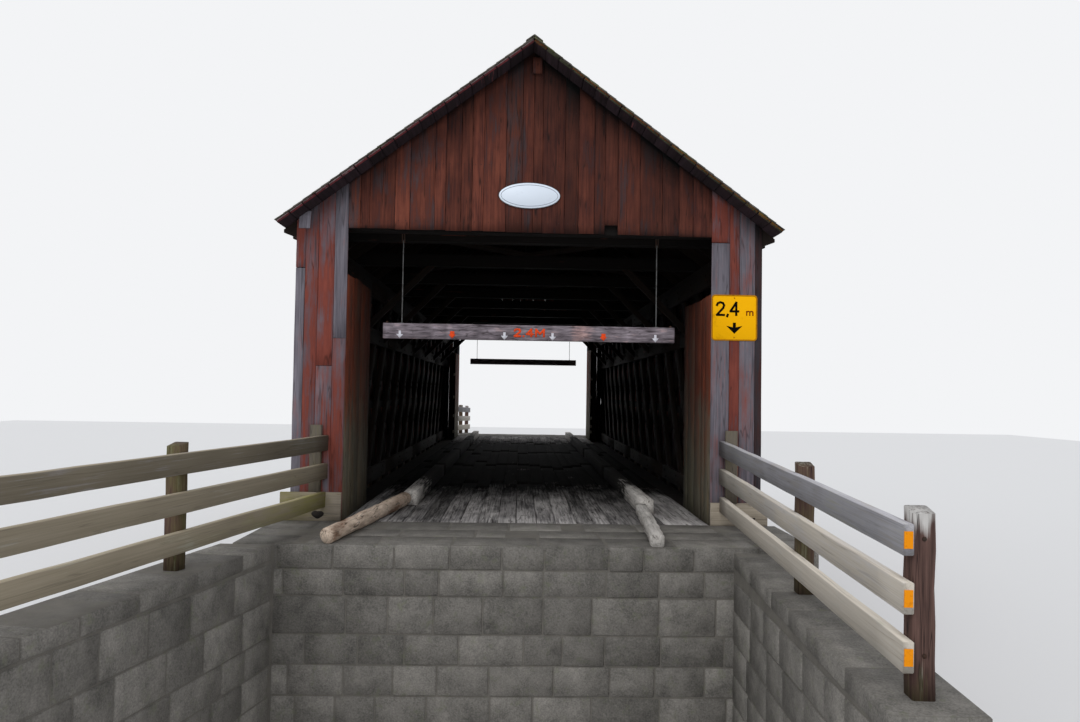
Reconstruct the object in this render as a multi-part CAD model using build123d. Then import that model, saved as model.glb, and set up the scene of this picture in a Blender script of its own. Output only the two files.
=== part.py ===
from build123d import *
import math
import os

# One-lane covered bridge on lattice trusses, in millimetres.
# +Z is up, +Y runs along the roadway, and the origin lies on the ground under the middle of the bridge.
# The near portal is at -Y. The far end is the near end turned half round, so it shows the same outside.

# Length of the bridge
bay = 1200.0
bays = 17
truss_end_run = 275.0
board = 25.0
truss_half = bay * bays / 2 + truss_end_run
portal = truss_half + board

# Heights of the roadway
deck_top = 2700.0
running_depth = 50.0
planking_depth = 75.0
stringer_depth = 200.0
beam_depth = 250.0
planking_top = deck_top - running_depth
stringer_top = planking_top - planking_depth
beam_top = stringer_top - stringer_depth
beam_bottom = beam_top - beam_depth

# Trusses: two layers of slanting web planks between inner and outer chord planks
plank = 65.0
web_plank_width = 275.0
chord_depth = 275.0
web_rows = 5
hall_half = 2840.0
web_inner = hall_half + plank
web_middle = web_inner + plank
web_outer = web_middle + plank
truss_outer = web_outer + plank
wall_outer = truss_outer + board
tie_clear = 3870.0
plate_depth = 150.0
plate_width = 2 * plank
plate_top = deck_top + tie_clear
truss_top = plate_top - plate_depth
truss_bottom = beam_bottom - chord_depth
lowest_row = truss_bottom + chord_depth / 2
highest_row = truss_top - chord_depth / 2
row_rise = (highest_row - lowest_row) / web_rows
web_slope = row_rise / (bay / 2)
web_half_run = web_plank_width / 2 * math.hypot(1, web_slope) / web_slope
end_post_width = 200.0
end_post_face = truss_half - end_post_width
web_band = (truss_top - truss_bottom) / web_slope

# Floor
beam_width = 200.0
stringer_width = 150.0
stringers_each_side = 3
stringer_inset = 365.0
stringer_pitch = (hall_half - stringer_inset - stringer_width / 2) / stringers_each_side
end_beam_inset = 25.0
curb_inner = 1650.0
curb_width = 200.0
curb_height = 200.0
curb_outer = curb_inner + curb_width
lining_set_in = 400.0
lining_inner = hall_half - lining_set_in
lower_brace_inset = 340.0
lower_brace_half = hall_half - lower_brace_inset
brace_depth = 50.0
brace_width = 200.0
brace_bays = 4
lower_brace_panels = 3
upper_brace_panels = 4
brace_end_gap = 10.0
brace_butt_gap = 5.0

# Roof
pitch = 0.75
slope_stretch = math.hypot(1, pitch)
rafter_width = 50.0
rafter_depth = 190.0
rafter_pitch = 800.0
rafter_header_gap = 100.0
seat_length = 75.0
roof_board_depth = 38.0
shingle_depth = 20.0
eave_overhang = 200.0
eave_half = wall_outer + eave_overhang
shingle_drip = 20.0
tail_setback = 5.0
tail_tip = 40.0
gable_overhang = 375.0
ridge_board_width = 25.0
cap_half = 110.0
cap_depth = 16.0
seat_inner = web_outer - seat_length
tail_half = eave_half - shingle_drip - tail_setback
rafter_rise = rafter_depth * slope_stretch
board_rise = roof_board_depth * slope_stretch
shingle_rise = shingle_depth * slope_stretch
cap_rise = cap_depth * slope_stretch

# Cross ties at the top of the trusses
tie_width = 200.0
tie_depth = 200.0
tie_bays = 2
tie_pairs = 4
braced_pairs = 3
tie_top = plate_top + tie_depth
upper_brace_inset = 390.0
upper_brace_half = hall_half - upper_brace_inset
knee_width = 100.0
header_setback = 75.0
header_front = portal - header_setback
header_back = header_front - tie_width

# Portal face
pier_foot_drop = 60.0
gable_drop = 20.0
gable_bottom = plate_top - gable_drop
notch_x = 1067.0
notch_width = 160.0
notch_height = 127.0
gable_frame_depth = 50.0
gable_frame_lift = 130.0
gable_frame_bottom = plate_top + gable_frame_lift
gable_frame_width = 100.0
gable_stud_pitch = 900.0
gable_nailer_pitch = 750.0

# Portal lining
lining_run = 1800.0
lining_left_height = 3300.0
lining_right_height = 3100.0
nailer_depth = 40.0
nailer_height = 100.0
nailer_proud = 20.0
left_nailers = (300.0, 490.0, 800.0, 1560.0, 2210.0)
right_nailers = (240.0, 810.0, 1480.0, 2300.0)
portal_post = 150.0
nailer_inner = lining_inner + board
post_inner = nailer_inner + nailer_depth
lining_back = truss_half - lining_run

# Outer walls
wall_bottom_drop = 50.0
wall_bottom = truss_bottom - wall_bottom_drop
wall_nailer_height = 150.0

# Hanging clearance bars
bar_half = 2000.0
bar_height = 210.0
bar_thickness = 90.0
near_bar_clear = 2440.0
far_bar_clear = 2730.0
hanger_inset = 250.0
hanger_x = bar_half - hanger_inset
pivot_drop = 90.0
pivot_arm = 75.0
pin_radius = 8.0
eye_clearance = 0.3
eye_radius = 20.0
eye_thickness = 16.0
eye_side_gap = 2.0
rod_radius = 8.0
lug_thickness = 8.0
lug_reach = 20.0
lug_margin = 6.0
lug_foot = 10.0
lug_head = 35.0
pad_size = 60.0
pad_thickness = 6.0
bracket_width = 60.0
bracket_height = 130.0
bracket_rise = 20.0
pivot_z = plate_top - pivot_drop
pivot_y = header_back - pivot_arm

# Signs and small pieces on the near portal
oval_width = 830.0
oval_height = 353.0
oval_x = -30.0
oval_above_deck = 4370.0
oval_thickness = 12.0
sign_size = 620.0
sign_corner = 50.0
sign_thickness = 4.0
sign_x = lining_inner + sign_size / 2
sign_above_deck = 2775.0
block_width = 125.0
block_height = 215.0
block_depth = 50.0
block_x = 50.0
block_clearance = 5.0

# Masonry
seat_run = 1400.0
abutment_front = portal - seat_run
abutment_batter = 250.0
abutment_run = 1650.0
end_gap = 20.0
abutment_margin = 175.0
abutment_half = wall_outer + abutment_margin
pocket_clearance = 190.0
pocket_inner = hall_half - pocket_clearance
bolster_depth = 150.0
bolster_reach = 400.0
seat_level = truss_bottom - bolster_depth
abutment_back = portal + abutment_run
wing_thickness = 600.0
wing_back = 500.0
wing_margin = 200.0
cut_margin = 1.0

# Approach fences
rail_thickness = 76.0
rail_height = 203.0
rail_pitch = 370.0
rail_count = 3
top_rail = 1125.0
rail_run = 5880.0
rail_back = 400.0
wing_reach = rail_run + wing_margin
fence_post = 150.0
post_rise = 95.0
left_fence_offset = 193.0
left_fence_x = -(lining_inner + left_fence_offset)
left_flare = 11.9
left_posts = (3070.0, 5780.0)
left_drop = 36.0
left_fall = left_drop / left_posts[-1]
right_fence_offset = 116.0
right_fence_x = lining_inner + right_fence_offset
right_flare = -2.2
right_posts = (3300.0, 5780.0)
right_drop = 180.0
right_fall = right_drop / right_posts[-1]
base_plank_depth = 50.0
base_plank_width = 760.0
left_base_height = 375.0
left_base_inset = 40.0
right_base_height = 300.0
right_base_inset = 0.0
cleat_width = 160.0
cleat_depth = 75.0
cleat_top = 1260.0
reflector_width = 56.0
reflector_height = 110.0
reflector_depth = 8.0

# Kerb pieces that go on from the curbs
log_radius = 105.0
log_taper = 15.0
log_flat = 12.0
log_overlap = 1600.0
log_offset = 180.0
log_drift = 420.0
log_start = (-(curb_inner + log_offset), -(portal - log_overlap))
log_end_x = log_start[0] - log_drift
timber_width = 160.0
timber_height = 150.0
timber_overlap = 950.0
timber_offset = 10.0
timber_drift = 190.0
timber_start = (curb_inner + timber_offset, -(portal - timber_overlap))
timber_end_x = timber_start[0] - timber_drift
kerb_gap = 40.0

TURNED = Rot(0, 0, 180)


def block(x0, x1, y0, y1, z0, z1):
    """A squared timber or slab between two opposite corners."""
    middle = Pos((x0 + x1) / 2, (y0 + y1) / 2, (z0 + z1) / 2)
    return middle * Box(x1 - x0, y1 - y0, z1 - z0)


def across(points, x0, x1):
    """A side outline, given as (y, z) points, carried across the bridge from x0 to x1."""
    return extrude(Plane.YZ.offset(x0) * Polygon(*points), amount=x1 - x0)


def along(points, y0, y1):
    """A cross-section, given as (x, z) points, carried along the bridge from y0 to y1."""
    return extrude(Plane.XZ.offset(-y1) * Polygon(*points), amount=y1 - y0)


def flipped(shape):
    """The same piece on the other side of the roadway."""
    return mirror(shape, about=Plane.YZ)


def both_sides(shapes):
    return list(shapes) + [flipped(shape) for shape in shapes]


def both_ends(shapes):
    return list(shapes) + [TURNED * shape for shape in shapes]


def write(name, shapes):
    """One sub-part: its solids go to one file."""
    if not isinstance(shapes, (list, tuple)):
        shapes = [shapes]
    solids = [solid for shape in shapes for solid in shape.solids()]
    whole = solids[0] if len(solids) == 1 else Compound(solids)
    export_step(whole, f"parts/{name}.step")


# Roof lines, as heights over a distance x from the centre line

def rafter_under(x):
    return plate_top + pitch * (seat_inner - x)


def rafter_over(x):
    return rafter_under(x) + rafter_rise


def boards_over(x):
    return rafter_over(x) + board_rise


def shingles_over(x):
    return boards_over(x) + shingle_rise


# Masonry

def abutment_near():
    """Stone mass with a battered front, two truss seats and a higher floor seat between them."""
    foot = abutment_front - abutment_batter
    side = [(-abutment_back, 0), (-foot, 0), (-abutment_front, deck_top), (-abutment_back, deck_top)]
    mass = across(side, -abutment_half, abutment_half)
    back_face = portal + end_gap
    wide = abutment_half + cut_margin
    above = deck_top + cut_margin
    floor_seat = block(-wide, wide, -back_face, 0, beam_bottom, above)
    truss_seat = block(pocket_inner, wide, -back_face, 0, seat_level, above)
    return mass - floor_seat - truss_seat - flipped(truss_seat)


def fence_place(x0, flare, side):
    """Frame of a fence: +X runs away from the portal along the rails, and +Z is up."""
    return Location((x0, -portal, deck_top), (0, 0, -90 + side * flare))


def wing_wall(x0, flare, fall, side):
    """Retaining wall under one fence, with its top following the fence."""
    middle = side * (rail_thickness + fence_post / 2)
    half = wing_thickness / 2
    profile = [
        (-wing_back, -deck_top), (wing_reach, -deck_top),
        (wing_reach, -fall * wing_reach), (0, 0), (-wing_back, 0),
    ]
    face = Plane.XZ.offset(-(middle + half)) * Polygon(*profile)
    wall = fence_place(x0, flare, side) * extrude(face, amount=wing_thickness)
    return wall - block(-2 * eave_half, 2 * eave_half, -abutment_back, 0, -cut_margin, deck_top + cut_margin)


def wing_walls():
    left = wing_wall(left_fence_x, left_flare, left_fall, -1)
    right = wing_wall(right_fence_x, right_flare, right_fall, 1)
    return both_ends([left, right])


def bolster_timbers():
    """Bed timbers under the four truss ends, reaching out past the masonry."""
    timber = block(
        hall_half, truss_outer, -truss_half, -(abutment_front - bolster_reach), seat_level, truss_bottom
    )
    return both_ends(both_sides([timber]))


# Lattice trusses

def web_layer(lean, x0):
    """One layer of slanting planks, all leaning the same way, cut level at top and bottom."""
    limits = Plane.YZ.offset(x0) * Polygon(
        (-truss_half, truss_bottom), (truss_half, truss_bottom),
        (truss_half, truss_top), (-truss_half, truss_top),
    )
    planks = []
    for k in range(-web_rows, bays + web_rows + 1):
        foot = (k - bays / 2) * bay - lean * (lowest_row - truss_bottom) / web_slope
        head = foot + lean * web_band
        if min(foot, head) > truss_half or max(foot, head) < -truss_half:
            continue
        face = Plane.YZ.offset(x0) * Polygon(
            (foot - web_half_run, truss_bottom), (foot + web_half_run, truss_bottom),
            (head + web_half_run, truss_top), (head - web_half_run, truss_top),
        )
        planks.append(extrude(face & limits, amount=plank))
    return planks


def lattice_web():
    """Right-hand web: the two layers cross and are pinned into one lattice."""
    planks = web_layer(1, web_inner) + web_layer(-1, web_middle)
    return planks[0].fuse(*planks[1:])


def chord_levels():
    return [lowest_row, lowest_row + row_rise, highest_row - row_rise, highest_row]


def chord_planks():
    """Four lines of paired planks on each truss, inside and outside the web."""
    right = [
        block(x, x + plank, -end_post_face, end_post_face, z - chord_depth / 2, z + chord_depth / 2)
        for z in chord_levels()
        for x in (hall_half, web_outer)
    ]
    return both_sides(right)


def end_posts():
    post = [
        block(x, x + plank, -truss_half, -end_post_face, truss_bottom, truss_top)
        for x in (hall_half, web_outer)
    ]
    return both_ends(both_sides(post))


# Floor

def floor_beams():
    """Beams that pass through the open diamonds of the webs and bear on the lowest chord planks."""
    beams = []
    for k in range(bays):
        y = (k - (bays - 1) / 2) * bay
        beams.append(
            block(-truss_outer, truss_outer, y - beam_width / 2, y + beam_width / 2, beam_bottom, beam_top)
        )
    near = -truss_half + end_beam_inset
    end = block(-pocket_inner, pocket_inner, near, near + beam_width, beam_bottom, beam_top)
    return beams + both_ends([end])


def floor_stringers():
    return [
        block(
            k * stringer_pitch - stringer_width / 2, k * stringer_pitch + stringer_width / 2,
            -truss_half, truss_half, beam_top, stringer_top,
        )
        for k in range(-stringers_each_side, stringers_each_side + 1)
    ]


def running_planks():
    """Worn lengthwise planks of the carriageway and the side strips outside the curbs."""
    carriageway = block(-curb_inner, curb_inner, -portal, portal, planking_top, deck_top)
    strip = block(curb_outer, lining_inner, -portal, portal, planking_top, deck_top)
    return [carriageway, strip, flipped(strip)]


def curb_timbers():
    top = deck_top + curb_height
    left = block(-curb_outer, -curb_inner, log_start[1] + kerb_gap, truss_half, planking_top, top)
    right = block(curb_inner, curb_outer, timber_start[1] + kerb_gap, truss_half, planking_top, top)
    return [left, right]


def cross_brace(half_width, y0, y1, z0):
    """One whole diagonal plank, and another in two lengths that stop beside it over the beam they share."""
    run = y1 - y0
    wide = half_width + brace_width
    angle = math.degrees(math.atan2(run, 2 * half_width))
    length = math.hypot(run, 2 * half_width) + 2 * brace_width
    panel = block(-wide, wide, y0 + brace_end_gap, y1 - brace_end_gap, z0, z0 + brace_depth)
    middle = Pos(0, (y0 + y1) / 2, z0 + brace_depth / 2)
    whole = middle * Rot(0, 0, angle) * Box(length, brace_width, brace_depth)
    slot = middle * Rot(0, 0, angle) * Box(length, brace_width + 2 * brace_butt_gap, 2 * brace_depth)
    crossing = middle * Rot(0, 0, -angle) * Box(length, brace_width, brace_depth)
    return [whole & panel] + list(((crossing - slot) & panel).solids())


def bracing(half_width, z0, count):
    run = brace_bays * bay
    starts = [(k - count / 2) * run for k in range(count)]
    return [plank_solid for y in starts for plank_solid in cross_brace(half_width, y, y + run, z0)]


# Top of the trusses

def wall_plates():
    plate = block(web_middle - plate_width / 2, web_outer, -truss_half, truss_half, truss_top, plate_top)
    return both_sides([plate])


def tie_outline():
    """Cross tie with its top corners cut back to the slope of the roof."""
    bevel_x = seat_inner + (plate_top + rafter_rise - tie_top) / pitch
    right = [(web_outer, plate_top), (web_outer, rafter_over(web_outer)), (bevel_x, tie_top)]
    return right + [(-x, z) for x, z in reversed(right)]


def tie_places():
    return [k * tie_bays * bay for k in range(-tie_pairs, tie_pairs + 1)]


def tie_beams():
    """Ties over the trusses, and one at each portal as its header."""
    half = tie_width / 2
    inner = [along(tie_outline(), y - half, y + half) for y in tie_places()]
    return inner + both_ends([along(tie_outline(), -header_front, -header_back)])


def knee_braces():
    """Slanting struts from the upper inner chord planks to the cross ties."""
    foot = highest_row - row_rise
    half = knee_width / math.sqrt(2)
    reach = plate_top - foot
    outline = [
        (hall_half, foot - half), (hall_half, foot + half),
        (hall_half - reach + half, plate_top), (hall_half - reach - half, plate_top),
    ]
    places = tie_places()[tie_pairs - braced_pairs:tie_pairs + braced_pairs + 1]
    right = [along(outline, y - knee_width / 2, y + knee_width / 2) for y in places]
    return both_sides(right)


# Roof

def rafter_places():
    half_pitches = int((header_back - rafter_header_gap) / rafter_pitch + 0.5)
    inner = [(k + 0.5) * rafter_pitch for k in range(half_pitches)]
    gable = truss_half - rafter_width / 2
    right = inner + [gable]
    return [-y for y in reversed(right)] + right


def rafter(y):
    """Rafter with a plumb cut at the ridge board and a birdsmouth over the wall plate."""
    top = ridge_board_width / 2
    outline = [
        (top, rafter_under(top)), (seat_inner, plate_top), (web_outer, plate_top),
        (web_outer, rafter_under(web_outer)), (wall_outer, rafter_under(wall_outer)),
        (tail_half, rafter_over(tail_half) - tail_tip),
        (tail_half, rafter_over(tail_half)), (top, rafter_over(top)),
    ]
    return along(outline, y - rafter_width / 2, y + rafter_width / 2)


def ridge_board():
    half = ridge_board_width / 2
    return block(-half, half, -truss_half, truss_half, rafter_under(half), rafter_over(half))


def roof_boards():
    """Right slope of lengthwise boards."""
    edge = eave_half - shingle_drip
    end = portal + gable_overhang - shingle_drip
    outline = [(0, rafter_over(0)), (edge, rafter_over(edge)), (edge, boards_over(edge)), (0, boards_over(0))]
    return along(outline, -end, end)


def shingle_roof():
    """Right slope of the covering, which drips past the boards on three sides."""
    end = portal + gable_overhang
    outline = [
        (0, boards_over(0)), (eave_half, boards_over(eave_half)),
        (eave_half, shingles_over(eave_half)), (0, shingles_over(0)),
    ]
    return along(outline, -end, end)


def ridge_cap():
    end = portal + gable_overhang
    low = shingles_over(cap_half)
    outline = [
        (-cap_half, low), (0, shingles_over(0)), (cap_half, low),
        (cap_half, low + cap_rise), (0, shingles_over(0) + cap_rise), (-cap_half, low + cap_rise),
    ]
    return along(outline, -end, end)


# Walls

def side_wall(rafters):
    """Right wall of boards, notched round the rafter tails and bevelled to the roof boards."""
    outline = [
        (truss_outer, wall_bottom), (wall_outer, wall_bottom),
        (wall_outer, rafter_over(wall_outer)), (truss_outer, rafter_over(truss_outer)),
    ]
    wall = along(outline, -truss_half, truss_half)
    return wall.cut(*rafters)


def wall_nailers():
    """Strips halfway up the outside of the webs, which the wall boards are nailed to."""
    z = (lowest_row + highest_row) / 2
    half = wall_nailer_height / 2
    strip = block(web_outer, truss_outer, -end_post_face, end_post_face, z - half, z + half)
    return both_sides([strip])


def pier_wall():
    """Right pier of the near portal: boards from the foot up to the slope of the roof."""
    foot = deck_top - pier_foot_drop
    outline = [
        (lining_inner, foot), (wall_outer, foot),
        (wall_outer, rafter_over(wall_outer)), (lining_inner, rafter_over(lining_inner)),
    ]
    return along(outline, -portal, -truss_half)


def gable_wall():
    outline = [
        (-lining_inner, gable_bottom), (lining_inner, gable_bottom),
        (lining_inner, rafter_over(lining_inner)), (0, rafter_over(0)),
        (-lining_inner, rafter_over(lining_inner)),
    ]
    return along(outline, -portal, -truss_half)


def broken_gable_wall():
    """Near gable, where one board has lost its lower end."""
    gap = block(
        notch_x - notch_width / 2, notch_x + notch_width / 2,
        -portal - cut_margin, -truss_half + cut_margin,
        gable_bottom - cut_margin, gable_bottom + notch_height,
    )
    return gable_wall() - gap


def gable_frame():
    """Studs and nailers in the plane of the gable rafters, behind the gable boards."""
    top = ridge_board_width / 2
    foot_half = seat_inner + (plate_top - gable_frame_bottom) / pitch
    corner = [(-foot_half, gable_frame_bottom), (foot_half, gable_frame_bottom)]
    peak = [(top, rafter_under(top)), (-top, rafter_under(top))]
    depth = (-truss_half, -truss_half + gable_frame_depth)
    half = gable_frame_width / 2
    highest = rafter_under(0)
    members = []
    for k in (-2, -1, 0, 1, 2):
        x = k * gable_stud_pitch
        members.append(block(x - half, x + half, *depth, gable_frame_bottom, highest))
    for k in (0, 1, 2):
        z = gable_frame_bottom + k * gable_nailer_pitch
        members.append(block(-foot_half, foot_half, *depth, z, z + gable_frame_width))
    return members[0].fuse(*members[1:]) & along(corner + peak, *depth)


# Portal lining

def lining(height):
    """Right lining of the near portal."""
    return block(lining_inner, nailer_inner, -truss_half, -lining_back, planking_top, deck_top + height)


def lining_strips(heights):
    """Strips behind the lining, with their ends left proud at the inner edge."""
    half = nailer_height / 2
    return [
        block(
            nailer_inner, post_inner, -truss_half, -lining_back + nailer_proud,
            deck_top + z - half, deck_top + z + half,
        )
        for z in heights
    ]


def portal_post_pair():
    """Posts at both ends of the right lining: the front one reaches the header."""
    outer = post_inner + portal_post
    front = block(post_inner, outer, -truss_half, -truss_half + portal_post, planking_top, plate_top)
    back = block(
        post_inner, outer, -lining_back - portal_post, -lining_back,
        planking_top, deck_top + lining_right_height,
    )
    return [front, back]


# Clearance bars

def clearance_bar(clear):
    """Near bar, hanging upright under its pivots."""
    half = bar_thickness / 2
    low = deck_top + clear
    return block(-bar_half, bar_half, -pivot_y - half, -pivot_y + half, low, low + bar_height)


def hanger(x, clear):
    """Rod with an eye at the top and a pad that is screwed down on the bar."""
    pad_bottom = deck_top + clear + bar_height
    rod_top = pivot_z - (eye_radius + pin_radius) / 2
    rod_foot = pad_bottom + pad_thickness
    turn = Pos(x, -pivot_y, pivot_z) * Rot(0, 90, 0)
    eye = turn * Cylinder(eye_radius, eye_thickness)
    bore = turn * Cylinder(pin_radius + eye_clearance, 2 * eye_thickness)
    rod = Pos(x, -pivot_y, (rod_top + rod_foot) / 2) * Cylinder(rod_radius, rod_top - rod_foot)
    half = pad_size / 2
    pad = block(x - half, x + half, -pivot_y - half, -pivot_y + half, pad_bottom, rod_foot)
    return (eye - bore) + rod + pad


def hangers(clear):
    return [hanger(x, clear) for x in (-hanger_x, hanger_x)]


def hanger_bracket(x):
    """Plate on the back of the header with two lugs and the pin that the eye turns on."""
    low = plate_top + bracket_rise
    face = -header_back
    half = bracket_width / 2
    plate = block(x - half, x + half, face, face + lug_thickness, low, low + bracket_height)
    edge = lug_reach + lug_margin
    outline = [
        (face, low + bracket_height), (face, low + lug_foot),
        (-pivot_y - edge, pivot_z - lug_reach), (-pivot_y + edge, pivot_z - lug_reach),
        (-pivot_y + edge, pivot_z + lug_reach), (face + lug_head, low + bracket_height),
    ]
    inner = eye_thickness / 2 + eye_side_gap
    lugs = [
        across(outline, x + inner, x + inner + lug_thickness),
        across(outline, x - inner - lug_thickness, x - inner),
    ]
    pin_length = 2 * (inner + lug_thickness)
    pin = Pos(x, -pivot_y, pivot_z) * Rot(0, 90, 0) * Cylinder(pin_radius, pin_length)
    return plate + lugs[0] + lugs[1] + pin


def hanger_brackets():
    return both_ends([hanger_bracket(-hanger_x), hanger_bracket(hanger_x)])


# Signs and small pieces

def oval_sign():
    place = Pos(oval_x, deck_top + oval_above_deck)
    face = Plane.XZ.offset(portal) * place * Ellipse(oval_width / 2, oval_height / 2)
    return extrude(face, amount=oval_thickness)


def clearance_sign():
    place = Pos(sign_x, deck_top + sign_above_deck)
    face = Plane.XZ.offset(portal) * place * RectangleRounded(sign_size, sign_size, sign_corner)
    return extrude(face, amount=sign_thickness)


def ridge_block():
    left = block_x - block_width / 2
    right = block_x + block_width / 2
    top = rafter_over(right) - block_clearance
    return block(left, right, -portal - block_depth, -portal, top - block_height, top)


# Fences and kerbs

def rail(place, height, fall, side, stop):
    """One rail in its fence's frame, cut off along the plane that its inner end butts against."""
    middle = (rail_run - rail_back) / 2
    length = (rail_run + rail_back) / math.cos(math.atan(fall))
    drop = Rot(0, math.degrees(math.atan(fall)), 0)
    bar = Pos(middle, side * rail_thickness / 2, height - rail_height / 2 - fall * middle)
    shape = place * bar * drop * Box(length, rail_thickness, rail_height)
    return shape - block(-2 * eave_half, 2 * eave_half, -stop, 0, 0, 2 * deck_top)


def fence_rails(x0, flare, fall, side):
    """Three rails: the lowest butts against the base plank, and the others against the pier boards."""
    place = fence_place(x0, flare, side)
    rails = []
    for k in range(rail_count):
        lowest = k == rail_count - 1
        stop = portal + base_plank_depth if lowest else portal
        rails.append(rail(place, top_rail - k * rail_pitch, fall, side, stop))
    return rails


def fence_posts(x0, flare, fall, side, distances, wall):
    """Square posts on the outer side of the rails, standing on the wing wall."""
    place = fence_place(x0, flare, side)
    posts = []
    for u in distances:
        top = top_rail + post_rise - fall * u
        foot = -fall * (u + fence_post)
        middle = Pos(u, side * (rail_thickness + fence_post / 2), (top + foot) / 2)
        posts.append(place * middle * Box(fence_post, fence_post, top - foot) - wall)
    return posts


def base_plank(height, inset):
    """Wide plank across the foot of the right pier, which the lowest rail ends on."""
    inner = lining_inner + inset
    outer = inner + base_plank_width
    return block(inner, outer, -portal - base_plank_depth, -portal, deck_top, deck_top + height)


def rail_cleat(x0, flare, side, foot):
    """Short upright behind the rails, on top of the base plank and against the pier boards."""
    place = fence_place(x0, flare, side)
    middle = Pos(0, side * (rail_thickness + cleat_width / 2), (cleat_top + foot) / 2)
    board_on_end = place * middle * Box(2 * cleat_depth, cleat_width, cleat_top - foot)
    return board_on_end - block(-2 * eave_half, 2 * eave_half, -portal, 0, 0, 2 * deck_top)


def reflectors():
    """Reflectors on the outer ends of the right-hand rails."""
    place = fence_place(right_fence_x, right_flare, 1)
    shapes = []
    for k in range(rail_count):
        height = top_rail - k * rail_pitch - rail_height / 2
        turned_end = Pos(0, rail_thickness / 2, height) * Rot(0, math.degrees(math.atan(right_fall)), 0)
        plate = Box(reflector_depth, reflector_width, reflector_height)
        run = rail_run * math.hypot(1, right_fall) + reflector_depth / 2
        shapes.append(place * turned_end * Pos(run, 0, 0) * plate)
    return shapes


def kerb_place(start, end_x, height):
    run = abutment_back + start[1]
    angle = math.degrees(math.atan2(-run, end_x - start[0]))
    length = math.hypot(run, end_x - start[0])
    return Location((start[0], start[1], height), (0, 0, angle)), length


def kerb_log():
    """Peeled log with a hewn underside, tapering away from the portal."""
    place, length = kerb_place(log_start, log_end_x, deck_top + log_radius - log_flat)
    trunk = place * Pos(length / 2, 0, 0) * Rot(0, 90, 0) * Cone(log_radius, log_radius - log_taper, length)
    ground = block(-2 * eave_half, 0, -2 * portal, 0, 0, deck_top)
    return trunk - ground


def kerb_timber():
    place, length = kerb_place(timber_start, timber_end_x, deck_top + timber_height / 2)
    return place * Pos(length / 2, 0, 0) * Box(length, timber_width, timber_height)


def build():
    os.makedirs("parts", exist_ok=True)

    # Masonry and what lies on it
    abutment = abutment_near()
    walls = wing_walls()
    write("abutment_near", abutment)
    write("abutment_far", TURNED * abutment)
    write("wing_walls", walls)
    write("bolster_timbers", bolster_timbers())

    # Trusses
    web = lattice_web()
    write("lattice_web_right", web)
    write("lattice_web_left", flipped(web))
    write("chord_planks", chord_planks())
    write("end_posts", end_posts())

    # Floor
    write("floor_beams", floor_beams())
    write("floor_stringers", floor_stringers())
    planking = block(-hall_half, hall_half, -truss_half, truss_half, stringer_top, planking_top)
    write("deck_planking", planking)
    write("running_planks", running_planks())
    write("curb_timbers", curb_timbers())
    write("lower_bracing", bracing(lower_brace_half, beam_bottom - brace_depth, lower_brace_panels))

    # Top of the trusses
    write("wall_plates", wall_plates())
    write("tie_beams", tie_beams())
    write("upper_bracing", bracing(upper_brace_half, tie_top, upper_brace_panels))
    write("knee_braces", knee_braces())

    # Roof
    rafters = [rafter(y) for y in rafter_places()]
    write("rafters", both_sides(rafters))
    write("ridge_board", ridge_board())
    write("roof_boards_right", roof_boards())
    write("roof_boards_left", flipped(roof_boards()))
    write("shingle_roof_right", shingle_roof())
    write("shingle_roof_left", flipped(shingle_roof()))
    write("ridge_cap", ridge_cap())

    # Walls
    near_piers = both_sides([pier_wall()])
    write("side_walls", both_sides([side_wall(rafters)]))
    write("wall_nailers", wall_nailers())
    write("near_piers", near_piers)
    write("far_piers", [TURNED * shape for shape in near_piers])
    write("near_gable", broken_gable_wall())
    write("far_gable", TURNED * gable_wall())
    write("gable_frames", both_ends([gable_frame()]))

    # Portal linings
    linings = [lining(lining_right_height), flipped(lining(lining_left_height))]
    strips = lining_strips(right_nailers) + [flipped(strip) for strip in lining_strips(left_nailers)]
    write("portal_linings", both_ends(linings))
    write("lining_strips", both_ends(strips))
    write("portal_posts", both_ends(both_sides(portal_post_pair())))

    # Clearance bars and their brackets
    write("hanger_brackets", hanger_brackets())
    write("near_bar", clearance_bar(near_bar_clear))
    write("near_hangers", hangers(near_bar_clear))
    write("far_bar", TURNED * clearance_bar(far_bar_clear))
    write("far_hangers", [TURNED * shape for shape in hangers(far_bar_clear)])

    # Signs
    write("oval_sign", oval_sign())
    write("clearance_sign", clearance_sign())
    write("ridge_block", ridge_block())

    # Fences and kerbs
    left = (left_fence_x, left_flare, left_fall, -1)
    right = (right_fence_x, right_flare, right_fall, 1)
    rails = fence_rails(*left) + fence_rails(*right)
    posts = fence_posts(*left, left_posts, walls[0]) + fence_posts(*right, right_posts, walls[1])
    cleats = [
        rail_cleat(left_fence_x, left_flare, -1, left_base_height),
        rail_cleat(right_fence_x, right_flare, 1, right_base_height),
    ]
    write("fence_rails", both_ends(rails))
    write("fence_posts", both_ends(posts))
    write("rail_cleats", both_ends(cleats))
    left_plank = flipped(base_plank(left_base_height, left_base_inset))
    write("base_planks", both_ends([left_plank, base_plank(right_base_height, right_base_inset)]))
    write("reflectors", reflectors())
    write("kerb_log", kerb_log())
    write("kerb_timber", kerb_timber())


build()
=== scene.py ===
"""Looks of a one-lane timber covered bridge: boards, shingles, stones, signs, finishes, light and camera.

Sizes are metres in the frame's own axes: +Z up, +Y along the roadway, the near portal at -Y.
"""

from __future__ import annotations

import logging
import math
from dataclasses import dataclass, field
from enum import Enum
from functools import cache, partial
from typing import Any, Callable, Sequence

import bpy
import numpy as np
from mathutils import Matrix, Vector

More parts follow.
